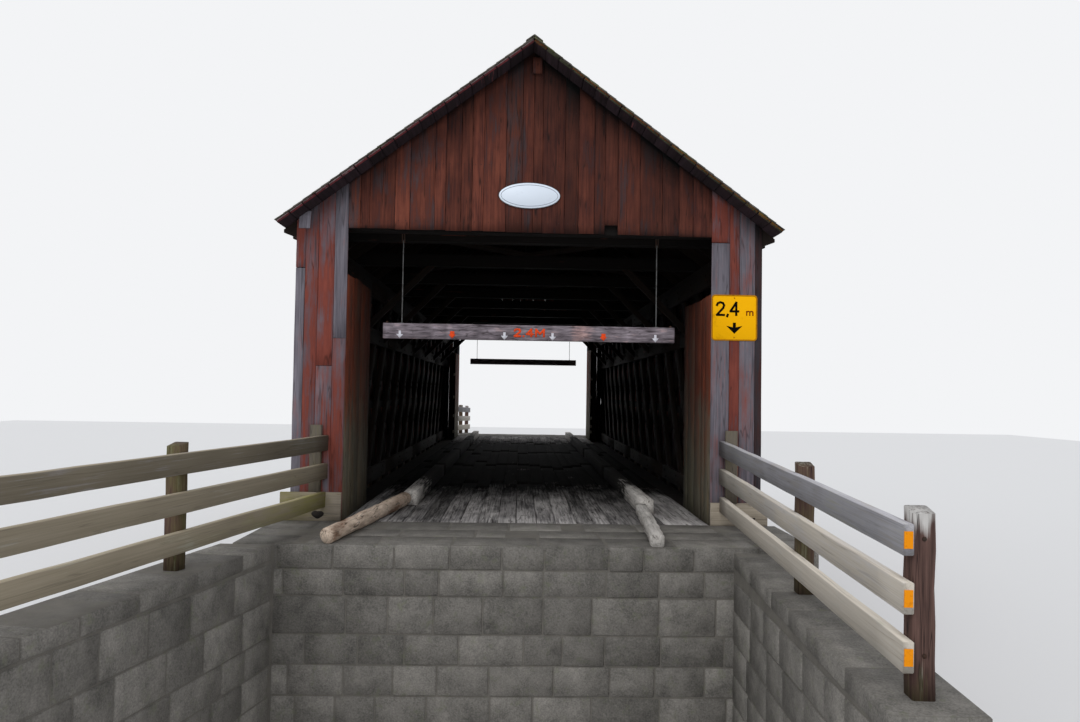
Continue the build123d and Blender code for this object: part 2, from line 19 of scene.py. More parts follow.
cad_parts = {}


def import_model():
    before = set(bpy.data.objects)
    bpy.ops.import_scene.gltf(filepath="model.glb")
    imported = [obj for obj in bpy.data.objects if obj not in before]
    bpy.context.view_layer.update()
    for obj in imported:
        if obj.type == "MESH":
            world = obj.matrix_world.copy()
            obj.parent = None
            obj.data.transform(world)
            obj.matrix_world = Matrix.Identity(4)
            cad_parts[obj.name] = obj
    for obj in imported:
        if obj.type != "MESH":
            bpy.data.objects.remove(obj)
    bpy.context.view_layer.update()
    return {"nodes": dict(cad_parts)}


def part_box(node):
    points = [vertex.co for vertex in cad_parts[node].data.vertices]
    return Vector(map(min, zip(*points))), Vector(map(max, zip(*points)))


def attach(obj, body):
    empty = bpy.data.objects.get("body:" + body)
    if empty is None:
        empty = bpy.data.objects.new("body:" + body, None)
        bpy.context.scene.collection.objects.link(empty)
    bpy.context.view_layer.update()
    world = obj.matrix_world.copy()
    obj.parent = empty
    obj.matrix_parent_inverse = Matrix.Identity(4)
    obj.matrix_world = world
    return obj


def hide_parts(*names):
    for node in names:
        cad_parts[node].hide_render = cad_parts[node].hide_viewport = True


Pair = tuple[float, float]
Triple = tuple[float, float, float]
Floats = tuple[float, ...]
log = logging.getLogger("covered_bridge")

STRUCTURE = "structure"
X_AXIS, Y_AXIS, Z_AXIS = np.eye(3)
# Half a turn about the upright axis carries the near end onto the far one.
HALF_TURN = np.diag([-1.0, -1.0, 1.0])
# Numbers that differ by less than this count as the same.
TINY = 1e-9


def linear(hex_colour: str) -> tuple[float, float, float, float]:
    """Turns an sRGB hex colour to linear light.

    Args:
        hex_colour: six digits after a hash sign.

    Returns:
        Red, green and blue in linear light, and an alpha of 1.
    """
    values = [int(hex_colour[i:i + 2], 16) / 255 for i in (1, 3, 5)]
    red, green, blue = (v / 12.92 if v <= 0.04045 else ((v + 0.055) / 1.055) ** 2.4 for v in values)
    return red, green, blue, 1.0


def feed(tree: bpy.types.NodeTree, made: bpy.types.Node, inputs: dict[Any, Any]) -> None:
    """Sets inputs of a node.

    Args:
        tree: the node's tree.
        made: the node.
        inputs: a value, or another node's output socket, for each input by name or number.
    """
    for key, value in inputs.items():
        if isinstance(value, bpy.types.NodeSocket):
            tree.links.new(value, made.inputs[key])
        else:
            made.inputs[key].default_value = value


def node(
    tree: bpy.types.NodeTree, kind: str, inputs: dict[Any, Any] | None = None, out: Any = 0, **settings: Any,
) -> Any:
    """Adds one shader node.

    Args:
        tree: the node tree.
        kind: the node's type, less the words that every type starts with.
        inputs: as for feed.
        out: name, number or slice of the outputs that are wanted.
        settings: the node's own properties.

    Returns:
        The output socket, or a list of sockets for a slice.
    """
    made = tree.nodes.new(f"ShaderNode{kind}")
    for key, value in settings.items():
        setattr(made, key, value)
    feed(tree, made, inputs or {})
    return made.outputs[out]


# A mix of two colours: inputs 6 and 7, by the share at input 0.
MIX = {"data_type": "RGBA", "out": 2}


def blank(name: str) -> tuple[bpy.types.Material, Callable[..., Any], Callable[..., None]]:
    """Makes a plain material.

    Args:
        name: the material's name.

    Returns:
        The material, the node function of its tree, and the feed function of its shader.
    """
    made = bpy.data.materials.new(name)
    made.use_nodes = True
    tree = made.node_tree
    return made, partial(node, tree), partial(feed, tree, tree.nodes["Principled BSDF"])


def unit(vectors: np.ndarray) -> np.ndarray:
    """Vectors of the same directions and of length one."""
    return vectors / np.linalg.norm(vectors, axis=-1, keepdims=True)


def put_mesh(name: str, points: np.ndarray, faces: Sequence[np.ndarray]) -> bpy.types.Object:
    """Makes an object at the origin from arrays.

    Args:
        name: the piece's name.
        points: one row for each vertex.
        faces: arrays of vertex numbers, each array holding faces of one size, one row a face.

    Returns:
        The new object, linked to the scene.
    """
    mesh = bpy.data.meshes.new(name)
    corners = np.concatenate([rows.ravel() for rows in faces]).astype(np.int32)
    sizes = np.concatenate([np.full(len(rows), rows.shape[1]) for rows in faces])
    starts = np.concatenate([[0], np.cumsum(sizes)[:-1]]).astype(np.int32)
    mesh.vertices.add(len(points))
    mesh.vertices.foreach_set("co", points.astype(np.float32).ravel())
    mesh.loops.add(len(corners))
    mesh.loops.foreach_set("vertex_index", corners)
    mesh.polygons.add(len(starts))
    mesh.polygons.foreach_set("loop_start", starts)
    mesh.update(calc_edges=True)
    made = bpy.data.objects.new(name, mesh)
    bpy.context.scene.collection.objects.link(made)
    return made


def settle(
    piece: bpy.types.Object, finish: Any, replaced: Sequence[str] = (), body: str = STRUCTURE,
) -> None:
    """Gives a new piece its material, body and slot, and hides the nodes that it stands for.

    Args:
        piece: the new object.
        finish: its finish.
        replaced: the nodes that the piece replaces.
        body: the body that it rides on.
    """
    piece.data.materials.clear()
    piece.data.materials.append(finish.material())
    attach(piece, body)
    if replaced:
        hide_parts(*replaced)
    log.info("%s: %d faces", piece.name, len(piece.data.polygons))


class Grain(Enum):
    """Which way the grain runs on a piece."""

    BOARD = "board"
    ALONG_X = "x"
    ALONG_Y = "y"
    ALONG_Z = "z"
    DOWN_ROOF = "roof"
    UP_KNEE = "knee"

    def place(self, add: Callable[..., Any]) -> bpy.types.NodeSocket:
        """Coordinates in metres whose first one runs along the grain.

        Args:
            add: the node function of the material's tree.

        Returns:
            The socket of the coordinates.
        """
        if self is Grain.BOARD:
            return add("Attribute", out="Vector", attribute_name="grain")
        here = add("TexCoord", out="Object")
        if self in (Grain.DOWN_ROOF, Grain.UP_KNEE):
            here = add("VectorMath", {0: here}, operation="ABSOLUTE")
        turns = {
            Grain.ALONG_X: (0.0, 0.0, 0.0), Grain.ALONG_Y: (0.0, 0.0, -90.0), Grain.ALONG_Z: (0.0, 90.0, 0.0),
            Grain.DOWN_ROOF: (0.0, -36.87, 0.0), Grain.UP_KNEE: (0.0, -45.0, 0.0),
        }
        turn = tuple(math.radians(angle) for angle in turns[self])
        return add("Mapping", {"Vector": here, "Rotation": turn})


@dataclass(frozen=True)
class Timber:
    """Sawn softwood, bare or painted: dull, streaked along the grain, with checks, knots and green algae.

    The streaks of real pine are 2 to 4 mm apart. They are drawn coarser, so that they show at this distance.
    """

    name: str
    wood_dark: str
    wood_light: str
    paint_dark: str = "#4a2420"
    paint_light: str = "#6b3a30"
    algae: str = "#59603a"
    dirt: str = "#1a1210"
    streak_mm: float = 16.0
    stretch: float = 22.0
    patch_mm: float = 260.0
    contrast: float = 1.0
    check_depth: float = 0.75
    knots: float = 0.8
    roughness: float = 0.86
    bump_mm: float = 2.0
    soft: float = 0.14
    foot: float = 0.0
    foot_reach: float = 0.0
    shine: float = 0.25

    @cache
    def material(self, grain: Grain = Grain.BOARD) -> bpy.types.Material:
        """Builds the finish.

        Streaks are noise stretched along the grain, checks are thin dark lines where a second such noise
        crosses its middle, and knots are the centres of stretched cells. Each board's tone, paint and algae
        come from its "state" attribute, which is nought on a piece that has none.

        Args:
            grain: which way the grain runs.

        Returns:
            The material.
        """
        made, add, shade = blank(f"{self.name}_{grain.value}")
        place = grain.place(add)
        state = add("Attribute", out="Vector", attribute_name="state")
        tone, paint, moss = add("SeparateXYZ", {0: state}, slice(3))
        long = add("Mapping", {"Vector": place, "Scale": (1 / self.stretch, 1.0, 1.0)})
        streak = add(
            "TexNoise", {"Vector": long, "Scale": 500 / self.streak_mm, "Detail": 5.0, "Roughness": 0.62},
        )
        squat = add("Mapping", {"Vector": place, "Scale": (0.4, 1.0, 1.0)})
        patch = add(
            "TexNoise", {"Vector": squat, "Scale": 1000 / self.patch_mm, "Detail": 4.0, "Roughness": 0.6},
        )

        half = 0.22 / self.contrast
        rise = add("MapRange", {"Value": streak, "From Min": 0.5 - half, "From Max": 0.5 + half})
        wood = add("Mix", {0: rise, 6: linear(self.wood_dark), 7: linear(self.wood_light)}, **MIX)
        blotch = add("Math", {0: streak, 1: patch}, operation="ADD")
        spread = add("MapRange", {"Value": blotch, "From Min": 0.72, "From Max": 1.28})
        coat = add("Mix", {0: spread, 6: linear(self.paint_dark), 7: linear(self.paint_light)}, **MIX)

        # Paint has gone first from the high streaks: the less of it a board has, the more wood shows.
        lack = add("Math", {0: blotch, 1: 1.0}, operation="SUBTRACT")
        left = add("Math", {0: lack, 1: 1.6, 2: paint}, operation="MULTIPLY_ADD")
        cover = add("MapRange", {"Value": left, "From Min": 0.5 - self.soft, "From Max": 0.5 + self.soft})
        face = add("Mix", {0: cover, 6: wood, 7: coat}, **MIX)

        fine = {"Vector": long, "Scale": 170 / self.streak_mm, "Detail": 2.0, "W": 3.0}
        off = add("Math", {0: add("TexNoise", fine, noise_dimensions="4D"), 1: 0.5}, operation="SUBTRACT")
        near = add("Math", {0: off}, operation="ABSOLUTE")
        line = {
            "Value": near, "From Min": 0.002, "From Max": 0.012, "To Min": self.check_depth, "To Max": 0.0,
        }
        cells = add("Mapping", {"Vector": place, "Scale": (0.9, 3.4, 3.4)})
        knot_at = add("TexVoronoi", {"Vector": cells, "Scale": 1.7})
        knot = {"Value": knot_at, "From Min": 0.05, "From Max": 0.13, "To Min": self.knots, "To Max": 0.0}
        mark = add("Math", {0: add("MapRange", line), 1: add("MapRange", knot)}, operation="MAXIMUM")
        marked = add("Mix", {0: mark, 6: face, 7: linear(self.dirt)}, **MIX)

        # Algae: from the board's own share, and from a band at the foot where it gets splashed.
        band = add("MapRange", {
            "Value": add("SeparateXYZ", {0: add("TexCoord", out="Object")}, 2), "From Min": self.foot,
            "From Max": self.foot + max(self.foot_reach, 0.001), "To Min": 0.75 if self.foot_reach else 0.0,
            "To Max": 0.0,
        })
        wet = add("Math", {0: moss, 1: band}, operation="MAXIMUM")
        grown = add("Math", {0: lack, 1: 1.4, 2: wet}, operation="MULTIPLY_ADD")
        green = add("MapRange", {"Value": grown, "From Min": 0.3, "From Max": 1.0, "To Max": 0.85})
        some = add("Math", {0: wet, 1: 0.01}, operation="GREATER_THAN")
        share = add("Math", {0: green, 1: some}, operation="MULTIPLY")
        dressed = add("Mix", {0: share, 6: marked, 7: linear(self.algae)}, **MIX)

        gain = add("Math", {0: tone, 1: 0.45, 2: 1.0}, operation="MULTIPLY_ADD")
        dip = add("Math", {0: mark, 1: -1.2, 2: streak}, operation="MULTIPLY_ADD")
        dull = {"Value": streak, "To Min": self.roughness - 0.08, "To Max": min(self.roughness + 0.1, 1.0)}
        shade({
            "Base Color": add("VectorMath", {0: dressed, 3: gain}, operation="SCALE"),
            "Normal": add("Bump", {"Height": dip, "Strength": 0.7, "Distance": self.bump_mm / 1000}),
            "Roughness": add("MapRange", dull), "Specular IOR Level": self.shine,
        })
        return made


@dataclass(frozen=True)
class Stone:
    """Split granite and its mortar: grey, speckled with crystals of a few millimetres, with lichen."""

    name: str
    dark: str
    light: str
    lichen: str = "#6d705c"
    crystal_mm: float = 9.0
    roughness: float = 0.88
    bump_mm: float = 9.0
    shine: float = 0.3

    @cache
    def material(self) -> bpy.types.Material:
        """Builds the finish: fine speckle over broad cloudy noise, and lichen where a third noise is high.

        Returns:
            The material.
        """
        made, add, shade = blank(self.name)
        place = add("TexCoord", out="Object")
        tone = add("SeparateXYZ", {0: add("Attribute", out="Vector", attribute_name="state")})
        fine = {"Vector": place, "Scale": 500 / self.crystal_mm, "Detail": 3.0, "Roughness": 0.7}
        speckle = add("TexNoise", fine)
        cloud = add("TexNoise", {"Vector": place, "Scale": 4.0, "Detail": 6.0, "Roughness": 0.65})
        both = add("Math", {0: speckle, 1: cloud}, operation="ADD")
        rise = add("MapRange", {"Value": both, "From Min": 0.7, "From Max": 1.3})
        rock = add("Mix", {0: rise, 6: linear(self.dark), 7: linear(self.light)}, **MIX)
        spots = {"Vector": place, "Scale": 9.0, "Detail": 7.0, "Roughness": 0.7, "W": 2.0}
        crust = add("TexNoise", spots, noise_dimensions="4D")
        grown = add("MapRange", {"Value": crust, "From Min": 0.55, "From Max": 0.66, "To Max": 0.55})
        face = add("Mix", {0: grown, 6: rock, 7: linear(self.lichen)}, **MIX)
        gain = add("Math", {0: tone, 1: 0.35, 2: 1.0}, operation="MULTIPLY_ADD")
        rough = add("Math", {0: cloud, 1: 3.0, 2: speckle}, operation="MULTIPLY_ADD")
        shade({
            "Base Color": add("VectorMath", {0: face, 3: gain}, operation="SCALE"),
            "Normal": add("Bump", {"Height": rough, "Strength": 0.6, "Distance": self.bump_mm / 1000}),
            "Roughness": self.roughness, "Specular IOR Level": self.shine,
        })
        return made


@dataclass(frozen=True)
class Coating:
    """A thin, even coat or sheet: enamel, paint, plastic or rusted steel, with grime in soft patches."""

    name: str
    colour: str
    grime: str
    grime_share: float = 0.25
    patch_mm: float = 80.0
    roughness: float = 0.4
    metallic: float = 0.0
    bump_mm: float = 0.3
    shine: float = 0.5

    @cache
    def material(self) -> bpy.types.Material:
        """Builds the finish: the coat's colour, with grime where a noise of several octaves is high.

        Returns:
            The material.
        """
        made, add, shade = blank(self.name)
        soft = {
            "Vector": add("TexCoord", out="Object"), "Scale": 1000 / self.patch_mm, "Detail": 6.0,
            "Roughness": 0.7,
        }
        cloud = add("TexNoise", soft)
        least = 0.62 - self.grime_share / 2
        share = add("MapRange", {"Value": cloud, "From Min": least, "From Max": 0.72, "To Max": 0.9})
        dull = {"Value": share, "To Min": self.roughness, "To Max": min(self.roughness + 0.3, 1.0)}
        shade({
            "Base Color": add("Mix", {0: share, 6: linear(self.colour), 7: linear(self.grime)}, **MIX),
            "Roughness": add("MapRange", dull),
            "Normal": add("Bump", {"Height": cloud, "Strength": 0.5, "Distance": self.bump_mm / 1000}),
            "Metallic": self.metallic, "Specular IOR Level": self.shine,
        })
        return made


# Iron-oxide barn paint over pine, faded: dull dark red with grey wood coming through.
PAINTED_PINE = Timber("painted_pine", "#40363a", "#6f6366", "#381816", "#764031", soft=0.3, check_depth=0.55)
# The same paint on the piers, more in the weather: paler and pinker, over silvery wood.
PIER_PINE = Timber(
    "pier_pine", "#57525a", "#8a868f", "#5a2924", "#864539", foot=2.64, foot_reach=0.4, soft=0.34,
    algae="#5b573a", check_depth=0.45, knots=0.4,
)
# Lining boards under the portal: orange-brown above, green and grey where splash reaches.
LINING_PINE = Timber("lining_pine", "#4b4538", "#7d7767", "#4a2016", "#80412a", algae="#5e5d45", soft=0.3)
# Structural pine that has never seen rain: dark brown, near black, as painted shade for the dark hall.
FRAME_PINE = Timber("frame_pine", "#120d0a", "#271c15", knots=0.6, streak_mm=22.0)
# Cross ties right behind the gables: the same, darker still, as painted shade behind the gables.
TIE_PINE = Timber("tie_pine", "#080605", "#130e0b", knots=0.6, streak_mm=22.0)
# Roadway planks, worn pale and grey, with dirt in the checks; their near-black bare colour is painted shade for
# the dark hall.
DECK_PLANK = Timber(
    "deck_plank", "#060505", "#0f0d0b", "#646161", "#b2aeab", streak_mm=14.0, patch_mm=420.0, contrast=1.3,
    soft=0.6, shine=0.04,
)
# Curbs and loose kerb pieces: rained on, pale grey; their near-black bare colour is painted shade for the hall.
CURB_TIMBER = Timber(
    "curb_timber", "#100e0d", "#221f1c", "#8f8a84", "#d2cec8", streak_mm=14.0, check_depth=0.4, soft=0.25,
)
# Cleats and base planks of spruce, olive-grey with algae in the shade.
FENCE_SPRUCE = Timber(
    "fence_spruce", "#7a7164", "#aa9f8f", algae="#75703a", knots=0.3, check_depth=0.35, streak_mm=12.0,
    contrast=0.7,
)
# Fence rails of spruce: straight even grain, olive-brown on the left.
RAIL_SPRUCE = Timber(
    "rail_spruce", "#6a6251", "#898071", "#7d7c88", "#a5a4ac", algae="#6d6a34", knots=0.15, check_depth=0.22,
    streak_mm=9.0, stretch=60.0, contrast=0.55, soft=0.3,
)
# The same on the right, silvered: beige-grey, and grey-lilac where it is most weathered.
RAIL_SILVER = Timber(
    "rail_silver", "#857f76", "#aaa398", "#757478", "#9b9a9e", algae="#6d6a34", knots=0.15, check_depth=0.22,
    streak_mm=9.0, stretch=60.0, contrast=0.55, soft=0.4,
)
# Roof boards: bare, their dark colour painted shade for the underside of the overhang.
ROOF_BOARD = Timber(
    "roof_board", "#1a1212", "#30232a", "#5a2a2a", "#7d4542", algae="#6d6228", check_depth=0.3,
)
# Ends of the boards on the left slope: the red paint stayed, with a bleached upper edge.
RED_END = Timber("red_board_end", "#6e5b5e", "#9c8886", "#451a1e", "#6c2e32", check_depth=0.3)
# Ends of the boards on the right slope: dark green-grey wood, orange-brown stain and yellow moss.
MOSSY_END = Timber(
    "mossy_board_end", "#2c2d22", "#5a5a42", "#4a2410", "#8a5020", algae="#6d5c20", check_depth=0.3,
)
# Split cedar shingles, silver-brown on the weather side.
CEDAR_SHINGLE = Timber("cedar_shingle", "#454039", "#77716a", algae="#5f6633", streak_mm=12.0, stretch=8.0)
# Nailing strips behind the linings: their cut ends stay pale.
STRIP_PINE = Timber("strip_pine", "#a8a297", "#dcd8d0", knots=0.0, check_depth=0.3)
# Fence posts: heartwood, browner than the rails, with frost-pale tops.
POST_TIMBER = Timber(
    "post_timber", "#3b2a26", "#735850", "#a8a4a0", "#d8d6d3", algae="#5f6038", streak_mm=12.0, soft=0.2,
)
# The hanging bar: a planed plank, dark grey.
BAR_PLANK = Timber(
    "bar_plank", "#453d42", "#958b92", "#8f6a66", "#bd9f9c", streak_mm=16.0, stretch=7.0, check_depth=0.5,
    patch_mm=90.0, contrast=1.2, soft=0.3, knots=0.4,
)
# The peeled kerb log: sapwood with remains of bark.
PEELED_LOG = Timber(
    "peeled_log", "#8a7667", "#d0c0ae", "#4d392d", "#7d6452", streak_mm=22.0, stretch=5.0, knots=0.9,
    soft=0.2,
)

GRANITE = Stone("granite_blocks", "#55534f", "#8b8781")
MORTAR = Stone("lime_mortar", "#5d5a55", "#7a766f", crystal_mm=4.0, bump_mm=3.0)

# Hot-forged mild steel, rusted brown all over.
RUSTED_STEEL = Coating("rusted_steel", "#33271f", "#51301f", 0.45, 30.0, 0.8, 0.3)
# Galvanised rod: dull grey zinc.
ZINC_ROD = Coating("zinc_rod", "#646565", "#4a4744", 0.3, 60.0, 0.6, 0.7)
WHITE_ENAMEL = Coating("white_enamel", "#e7f1fd", "#d6deea", 0.05, 300.0, 0.35)
BLUE_ENAMEL = Coating("blue_grey_enamel", "#7d8796", "#5d6470", 0.1, 200.0, 0.35)
DARK_ENAMEL = Coating("dark_enamel", "#23262b", "#3c3a38", 0.2, 90.0, 0.45)
SIGN_YELLOW = Coating("sign_yellow", "#fcb800", "#dd9d04", 0.1, 240.0, 0.7, shine=0.08)
# The rim is rolled back: its darker colour is painted shade, as it lies in its own shade, and it has kept more
# dirt.
SIGN_OCHRE = Coating("sign_ochre", "#b97c08", "#93620a", 0.3, 60.0, 0.7, shine=0.08)
SIGN_BROWN = Coating("sign_brown", "#7c3004", "#6a2a06", 0.2, 60.0, 0.7, shine=0.08)
SIGN_BLACK = Coating("sign_black", "#070605", "#100e0b", 0.1, 60.0, 0.9, shine=0.05)
SPRAY_ORANGE = Coating("spray_orange", "#ee4f1c", "#8a5040", 0.25, 22.0, 0.8, shine=0.15)
STENCIL_WHITE = Coating("stencil_white", "#dcdce4", "#a5a2a8", 0.15, 18.0, 0.8)
AMBER_PLASTIC = Coating("amber_plastic", "#f29400", "#c96f00", 0.2, 30.0, 0.3, shine=0.15)
RUST_NAIL = Coating("rust_nail", "#2a1a14", "#4a2a1c", 0.4, 10.0, 0.8)
# Holes where knots fell out, as dark discs on the plank: painted shade, as the holes are too deep for the
# light.
KNOT_HOLE = Coating("knot_hole", "#17110d", "#2a2018", 0.3, 20.0, 0.9)


@dataclass(frozen=True)
class Layout:
    """Places that the pieces share, read from the frame's nodes."""

    portal: float
    truss_half: float
    deck: float
    planking: float
    stringer: float
    wall_out: float
    hall: float
    lining: float
    gable_low: float
    truss_top: float
    truss_low: float
    eave: float
    roof_end: float
    ridge: float
    abutment_back: float
    pitch: float = 0.75
    board: float = 0.025
    roof_board: float = 0.038
    plank: float = 0.065
    shingle: float = 0.02
    # How far a board stays clear of the next piece, and inside its solid.
    slack: float = 0.002
    # How much thinner a heavy plank is than its solid.
    trim: float = 0.001

    @classmethod
    def read(cls) -> Layout:
        """Reads the corners of the nodes.

        Returns:
            The layout.
        """
        piers, deck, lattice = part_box("near_piers"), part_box("running_planks"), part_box("lattice_web_right")
        planking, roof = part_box("deck_planking"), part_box("shingle_roof_right")
        return cls(
            portal=-piers[0].y, truss_half=lattice[1].y, deck=deck[1].z, planking=deck[0].z,
            stringer=planking[0].z, wall_out=piers[1].x, hall=planking[1].x, lining=deck[1].x,
            gable_low=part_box("near_gable")[0].z, truss_top=lattice[1].z, truss_low=lattice[0].z,
            eave=roof[1].x, roof_end=roof[1].y, ridge=roof[1].z, abutment_back=-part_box("abutment_near")[0].y,
        )

    @property
    def stretch(self) -> float:
        """Length along the slope for each metre across."""
        return math.hypot(1.0, self.pitch)

    @property
    def sine(self) -> float:
        """Sine of the slope's angle."""
        return self.pitch / self.stretch

    def rafter_over(self, x: Any) -> Any:
        """Height of the rafters' upper face at a distance from the centre line."""
        cover = self.ridge - self.pitch * abs(x)
        return cover - self.shingle * self.stretch - self.roof_board * self.stretch


class Fade:
    """A value that changes along a board: its marks are evenly spaced from the foot to the head."""

    def __init__(self, *marks: Any) -> None:
        """Takes each mark as one value, or as one value a board."""
        self.marks = marks

    def along(self, share: np.ndarray, count: int) -> np.ndarray:
        """Reads the value between the marks.

        Args:
            share: shares of the length, one a station.
            count: how many boards there are.

        Returns:
            One row a board, one column a station.
        """
        rows = np.stack([np.broadcast_to(np.asarray(mark, float), (count,)) for mark in self.marks], axis=1)
        place = share * (len(self.marks) - 1)
        before = np.minimum(place.astype(int), max(len(self.marks) - 2, 0))
        after = np.minimum(before + 1, len(self.marks) - 1)
        return rows[:, before] + (rows[:, after] - rows[:, before]) * (place - before)


@dataclass
class Boards:
    """Sawn boards or dressed blocks laid as one mesh.

    A board is a rectangle with chamfered corners, carried in a straight line. With D along the board,
    A across its width and T = D x A through its thickness, the vertex of station s and profile corner p is
    foot + D (t0(p) + s (t1(p) - t0(p))) + A a(p) + T b(p), where t0 and t1 are where the line through the
    corner meets the planes that cut the board off. Inner stations wander sideways by a millimetre or two,
    and a nose draws the end faces in, as on a dressed stone.
    """

    name: str
    seed: int
    chamfer: float = 0.003
    wander: float = 0.0015
    stations: int = 4
    nose: float = 0.0
    # Share of the wandering at the ends, least length, and how far grain and tone are shifted at most.
    end_sway: float = 0.3
    shortest: float = 1e-4
    grain_shift: float = 9.0
    tone_shift: float = 0.6
    batches: list[dict[str, np.ndarray]] = field(default_factory=list)

    def __post_init__(self) -> None:
        """Seeds the draws of this mesh."""
        self.draw = np.random.default_rng(self.seed)

    def lay(
        self, foot: Any, head: Any, across: Any, width: Any, depth: Any, *,
        planes: Sequence[tuple[Any, float]] = (), tone: Any = None, paint: Any = 0.0, moss: Any = 0.0,
        crown: float = 0.0, turned: np.ndarray | None = None,
    ) -> None:
        """Adds boards. Any size, tone, paint or moss may be one value or one a board.

        Args:
            foot: middle of the foot end, one row a board or one for all.
            head: middle of the head end.
            across: direction of the width, at right angles to the board.
            width: width of each board.
            depth: thickness of each board.
            planes: what cuts every board off, as normal and offset: normal . point <= offset.
            tone: lighter (1) or darker (-1) than its finish; drawn at random if left out.
            paint: share of the paint that is left, or a Fade.
            moss: share of algae or moss, or a Fade.
            crown: how much lighter the narrow face towards across is: on a rail's top, partly weathering and
                partly painted light from above.
            turned: a matrix that carries the finished boards to another place.
        """
        foot, head = np.atleast_2d(np.asarray(foot, float)), np.atleast_2d(np.asarray(head, float))
        count = max(len(foot), len(head), np.size(width), np.size(depth), len(np.atleast_2d(across)))
        foot, head = np.broadcast_to(foot, (count, 3)), np.broadcast_to(head, (count, 3))
        across = np.broadcast_to(unit(np.asarray(across, float)), (count, 3))
        run = np.linalg.norm(head - foot, axis=1)
        along = (head - foot) / run[:, None]
        through = np.cross(along, across)
        w = np.broadcast_to(np.asarray(width, float) / 2, (count,))
        d = np.broadcast_to(np.asarray(depth, float) / 2, (count,))
        c = self.chamfer
        if c:
            a = np.stack([w - c, w, w, w - c, c - w, -w, -w, c - w], axis=1)
            b = np.stack([-d, c - d, d - c, d, d, d - c, c - d, -d], axis=1)
        else:
            a = np.stack([w, w, -w, -w], axis=1)
            b = np.stack([-d, d, d, -d], axis=1)
        line = foot[:, None] + across[:, None] * a[..., None] + through[:, None] * b[..., None]
        low, high = np.zeros(a.shape), np.broadcast_to(run[:, None], a.shape).copy()
        for normal, offset in planes:
            normal = np.asarray(normal, float)
            speed = np.broadcast_to((along @ normal)[:, None], a.shape)
            meet = (offset - line @ normal) / np.where(np.abs(speed) > TINY, speed, 1.0)
            high = np.where(speed > TINY, np.minimum(high, meet), high)
            low = np.where(speed < -TINY, np.maximum(low, meet), low)
        high = np.maximum(high, low + self.shortest)
        share = np.linspace(0.0, 1.0, self.stations)
        t = low[:, None] + share[None, :, None] * (high - low)[:, None]
        shrink = np.ones((count, self.stations, 1, 2))
        if self.nose:
            t[:, 1], t[:, -2] = low + self.nose, high - self.nose
            shrink[:, 0, 0] = shrink[:, -1, 0] = 1 - self.nose / np.stack([w, d], axis=-1)
        sway = self.draw.normal(0.0, self.wander, (count, self.stations, 1, 2))
        sway[:, [0, -1]] *= self.end_sway
        places = np.stack(np.broadcast_arrays(a[:, None], b[:, None]), axis=-1) * shrink + sway
        points = foot[:, None, None] + along[:, None, None] * t[..., None]
        points = points + across[:, None, None] * places[..., :1] + through[:, None, None] * places[..., 1:]
        shift = self.draw.uniform(-self.grain_shift, self.grain_shift, (count, 1, 1, 3))
        grain = np.concatenate([t[..., None], places], axis=-1) + shift
        drawn = self.draw.uniform(-self.tone_shift, self.tone_shift, count)
        values = [drawn if tone is None else tone, paint, moss]
        fades = [value if isinstance(value, Fade) else Fade(value) for value in values]
        state = np.stack([fade.along(share, count) for fade in fades], axis=-1)
        state = np.broadcast_to(state[:, :, None], points.shape).copy()
        # The crown: a lighter narrow face, partly weathering and partly painted light from above.
        state[..., 0] += crown * (a >= w[:, None] - TINY)[:, None]
        if turned is not None:
            points = points @ turned.T
        self.batches.append({"points": points, "grain": grain, "state": state})

    def build(self) -> bpy.types.Object:
        """Makes the mesh: quads between stations, and one face on each end.

        Returns:
            The object, with its "grain" and "state" attributes.
        """
        made = skin(self.name, np.concatenate([batch["points"] for batch in self.batches]))
        for key in ("grain", "state"):
            mark_points(made, key, np.concatenate([batch[key] for batch in self.batches]))
        return made


def split(draw: np.random.Generator, low: float, high: float, mean: float, vary: float = 0.25) -> np.ndarray:
    """Splits a stretch into uneven widths.

    Args:
        draw: the seeded generator.
        low: where the stretch begins.
        high: where it ends.
        mean: about how wide each part is.
        vary: how much the widths differ.

    Returns:
        The edges, with both ends.
    """
    count = max(1, round((high - low) / mean))
    widths = draw.uniform(1 - vary, 1 + vary, count)
    return low + (high - low) * np.concatenate([[0.0], np.cumsum(widths) / widths.sum()])


def column(x: Any, y: Any, z: Any) -> np.ndarray:
    """Rows of points from three values or arrays that fit together."""
    return np.stack(
        np.broadcast_arrays(np.asarray(x, float), np.asarray(y, float), np.asarray(z, float)), axis=-1,
    )


def skin(name: str, rings: np.ndarray, looped: bool = False) -> bpy.types.Object:
    """Makes a mesh from profiles carried along paths: quads between rings, and one face on each end.

    Args:
        name: the piece's name.
        rings: an array of paths, rings, corners and coordinates, counter-clockwise about the path.
        looped: whether the last ring joins the first, as on a border.

    Returns:
        The new object.
    """
    count, stations, corners, _ = rings.shape
    number = np.arange(count * stations * corners).reshape(count, stations, corners)
    after = np.roll(number, -1, axis=2)
    ahead, ahead_after = np.roll(number, -1, axis=1), np.roll(after, -1, axis=1)
    sides = np.stack([number, after, ahead_after, ahead], axis=-1)
    if looped:
        return put_mesh(name, rings.reshape(-1, 3), [sides.reshape(-1, 4)])
    caps = np.concatenate([number[:, 0, ::-1], number[:, -1]])
    return put_mesh(name, rings.reshape(-1, 3), [sides[:, :-1].reshape(-1, 4), caps])


def mark_points(piece: bpy.types.Object, key: str, rows: np.ndarray) -> None:
    """Stores three values a vertex under a name that the finishes read."""
    values = piece.data.attributes.new(key, "FLOAT_VECTOR", "POINT")
    values.data.foreach_set("vector", rows.reshape(-1, 3).astype(np.float32).ravel())


def ellipse(half_x: float, half_z: float, corners: int = 96) -> np.ndarray:
    """Ellipse in X and Z, counter-clockwise as seen from the front: (a cos t, b sin t)."""
    turn = np.linspace(0.0, 2 * math.pi, corners, endpoint=False)
    return np.stack([half_x * np.cos(turn), half_z * np.sin(turn)], axis=1)


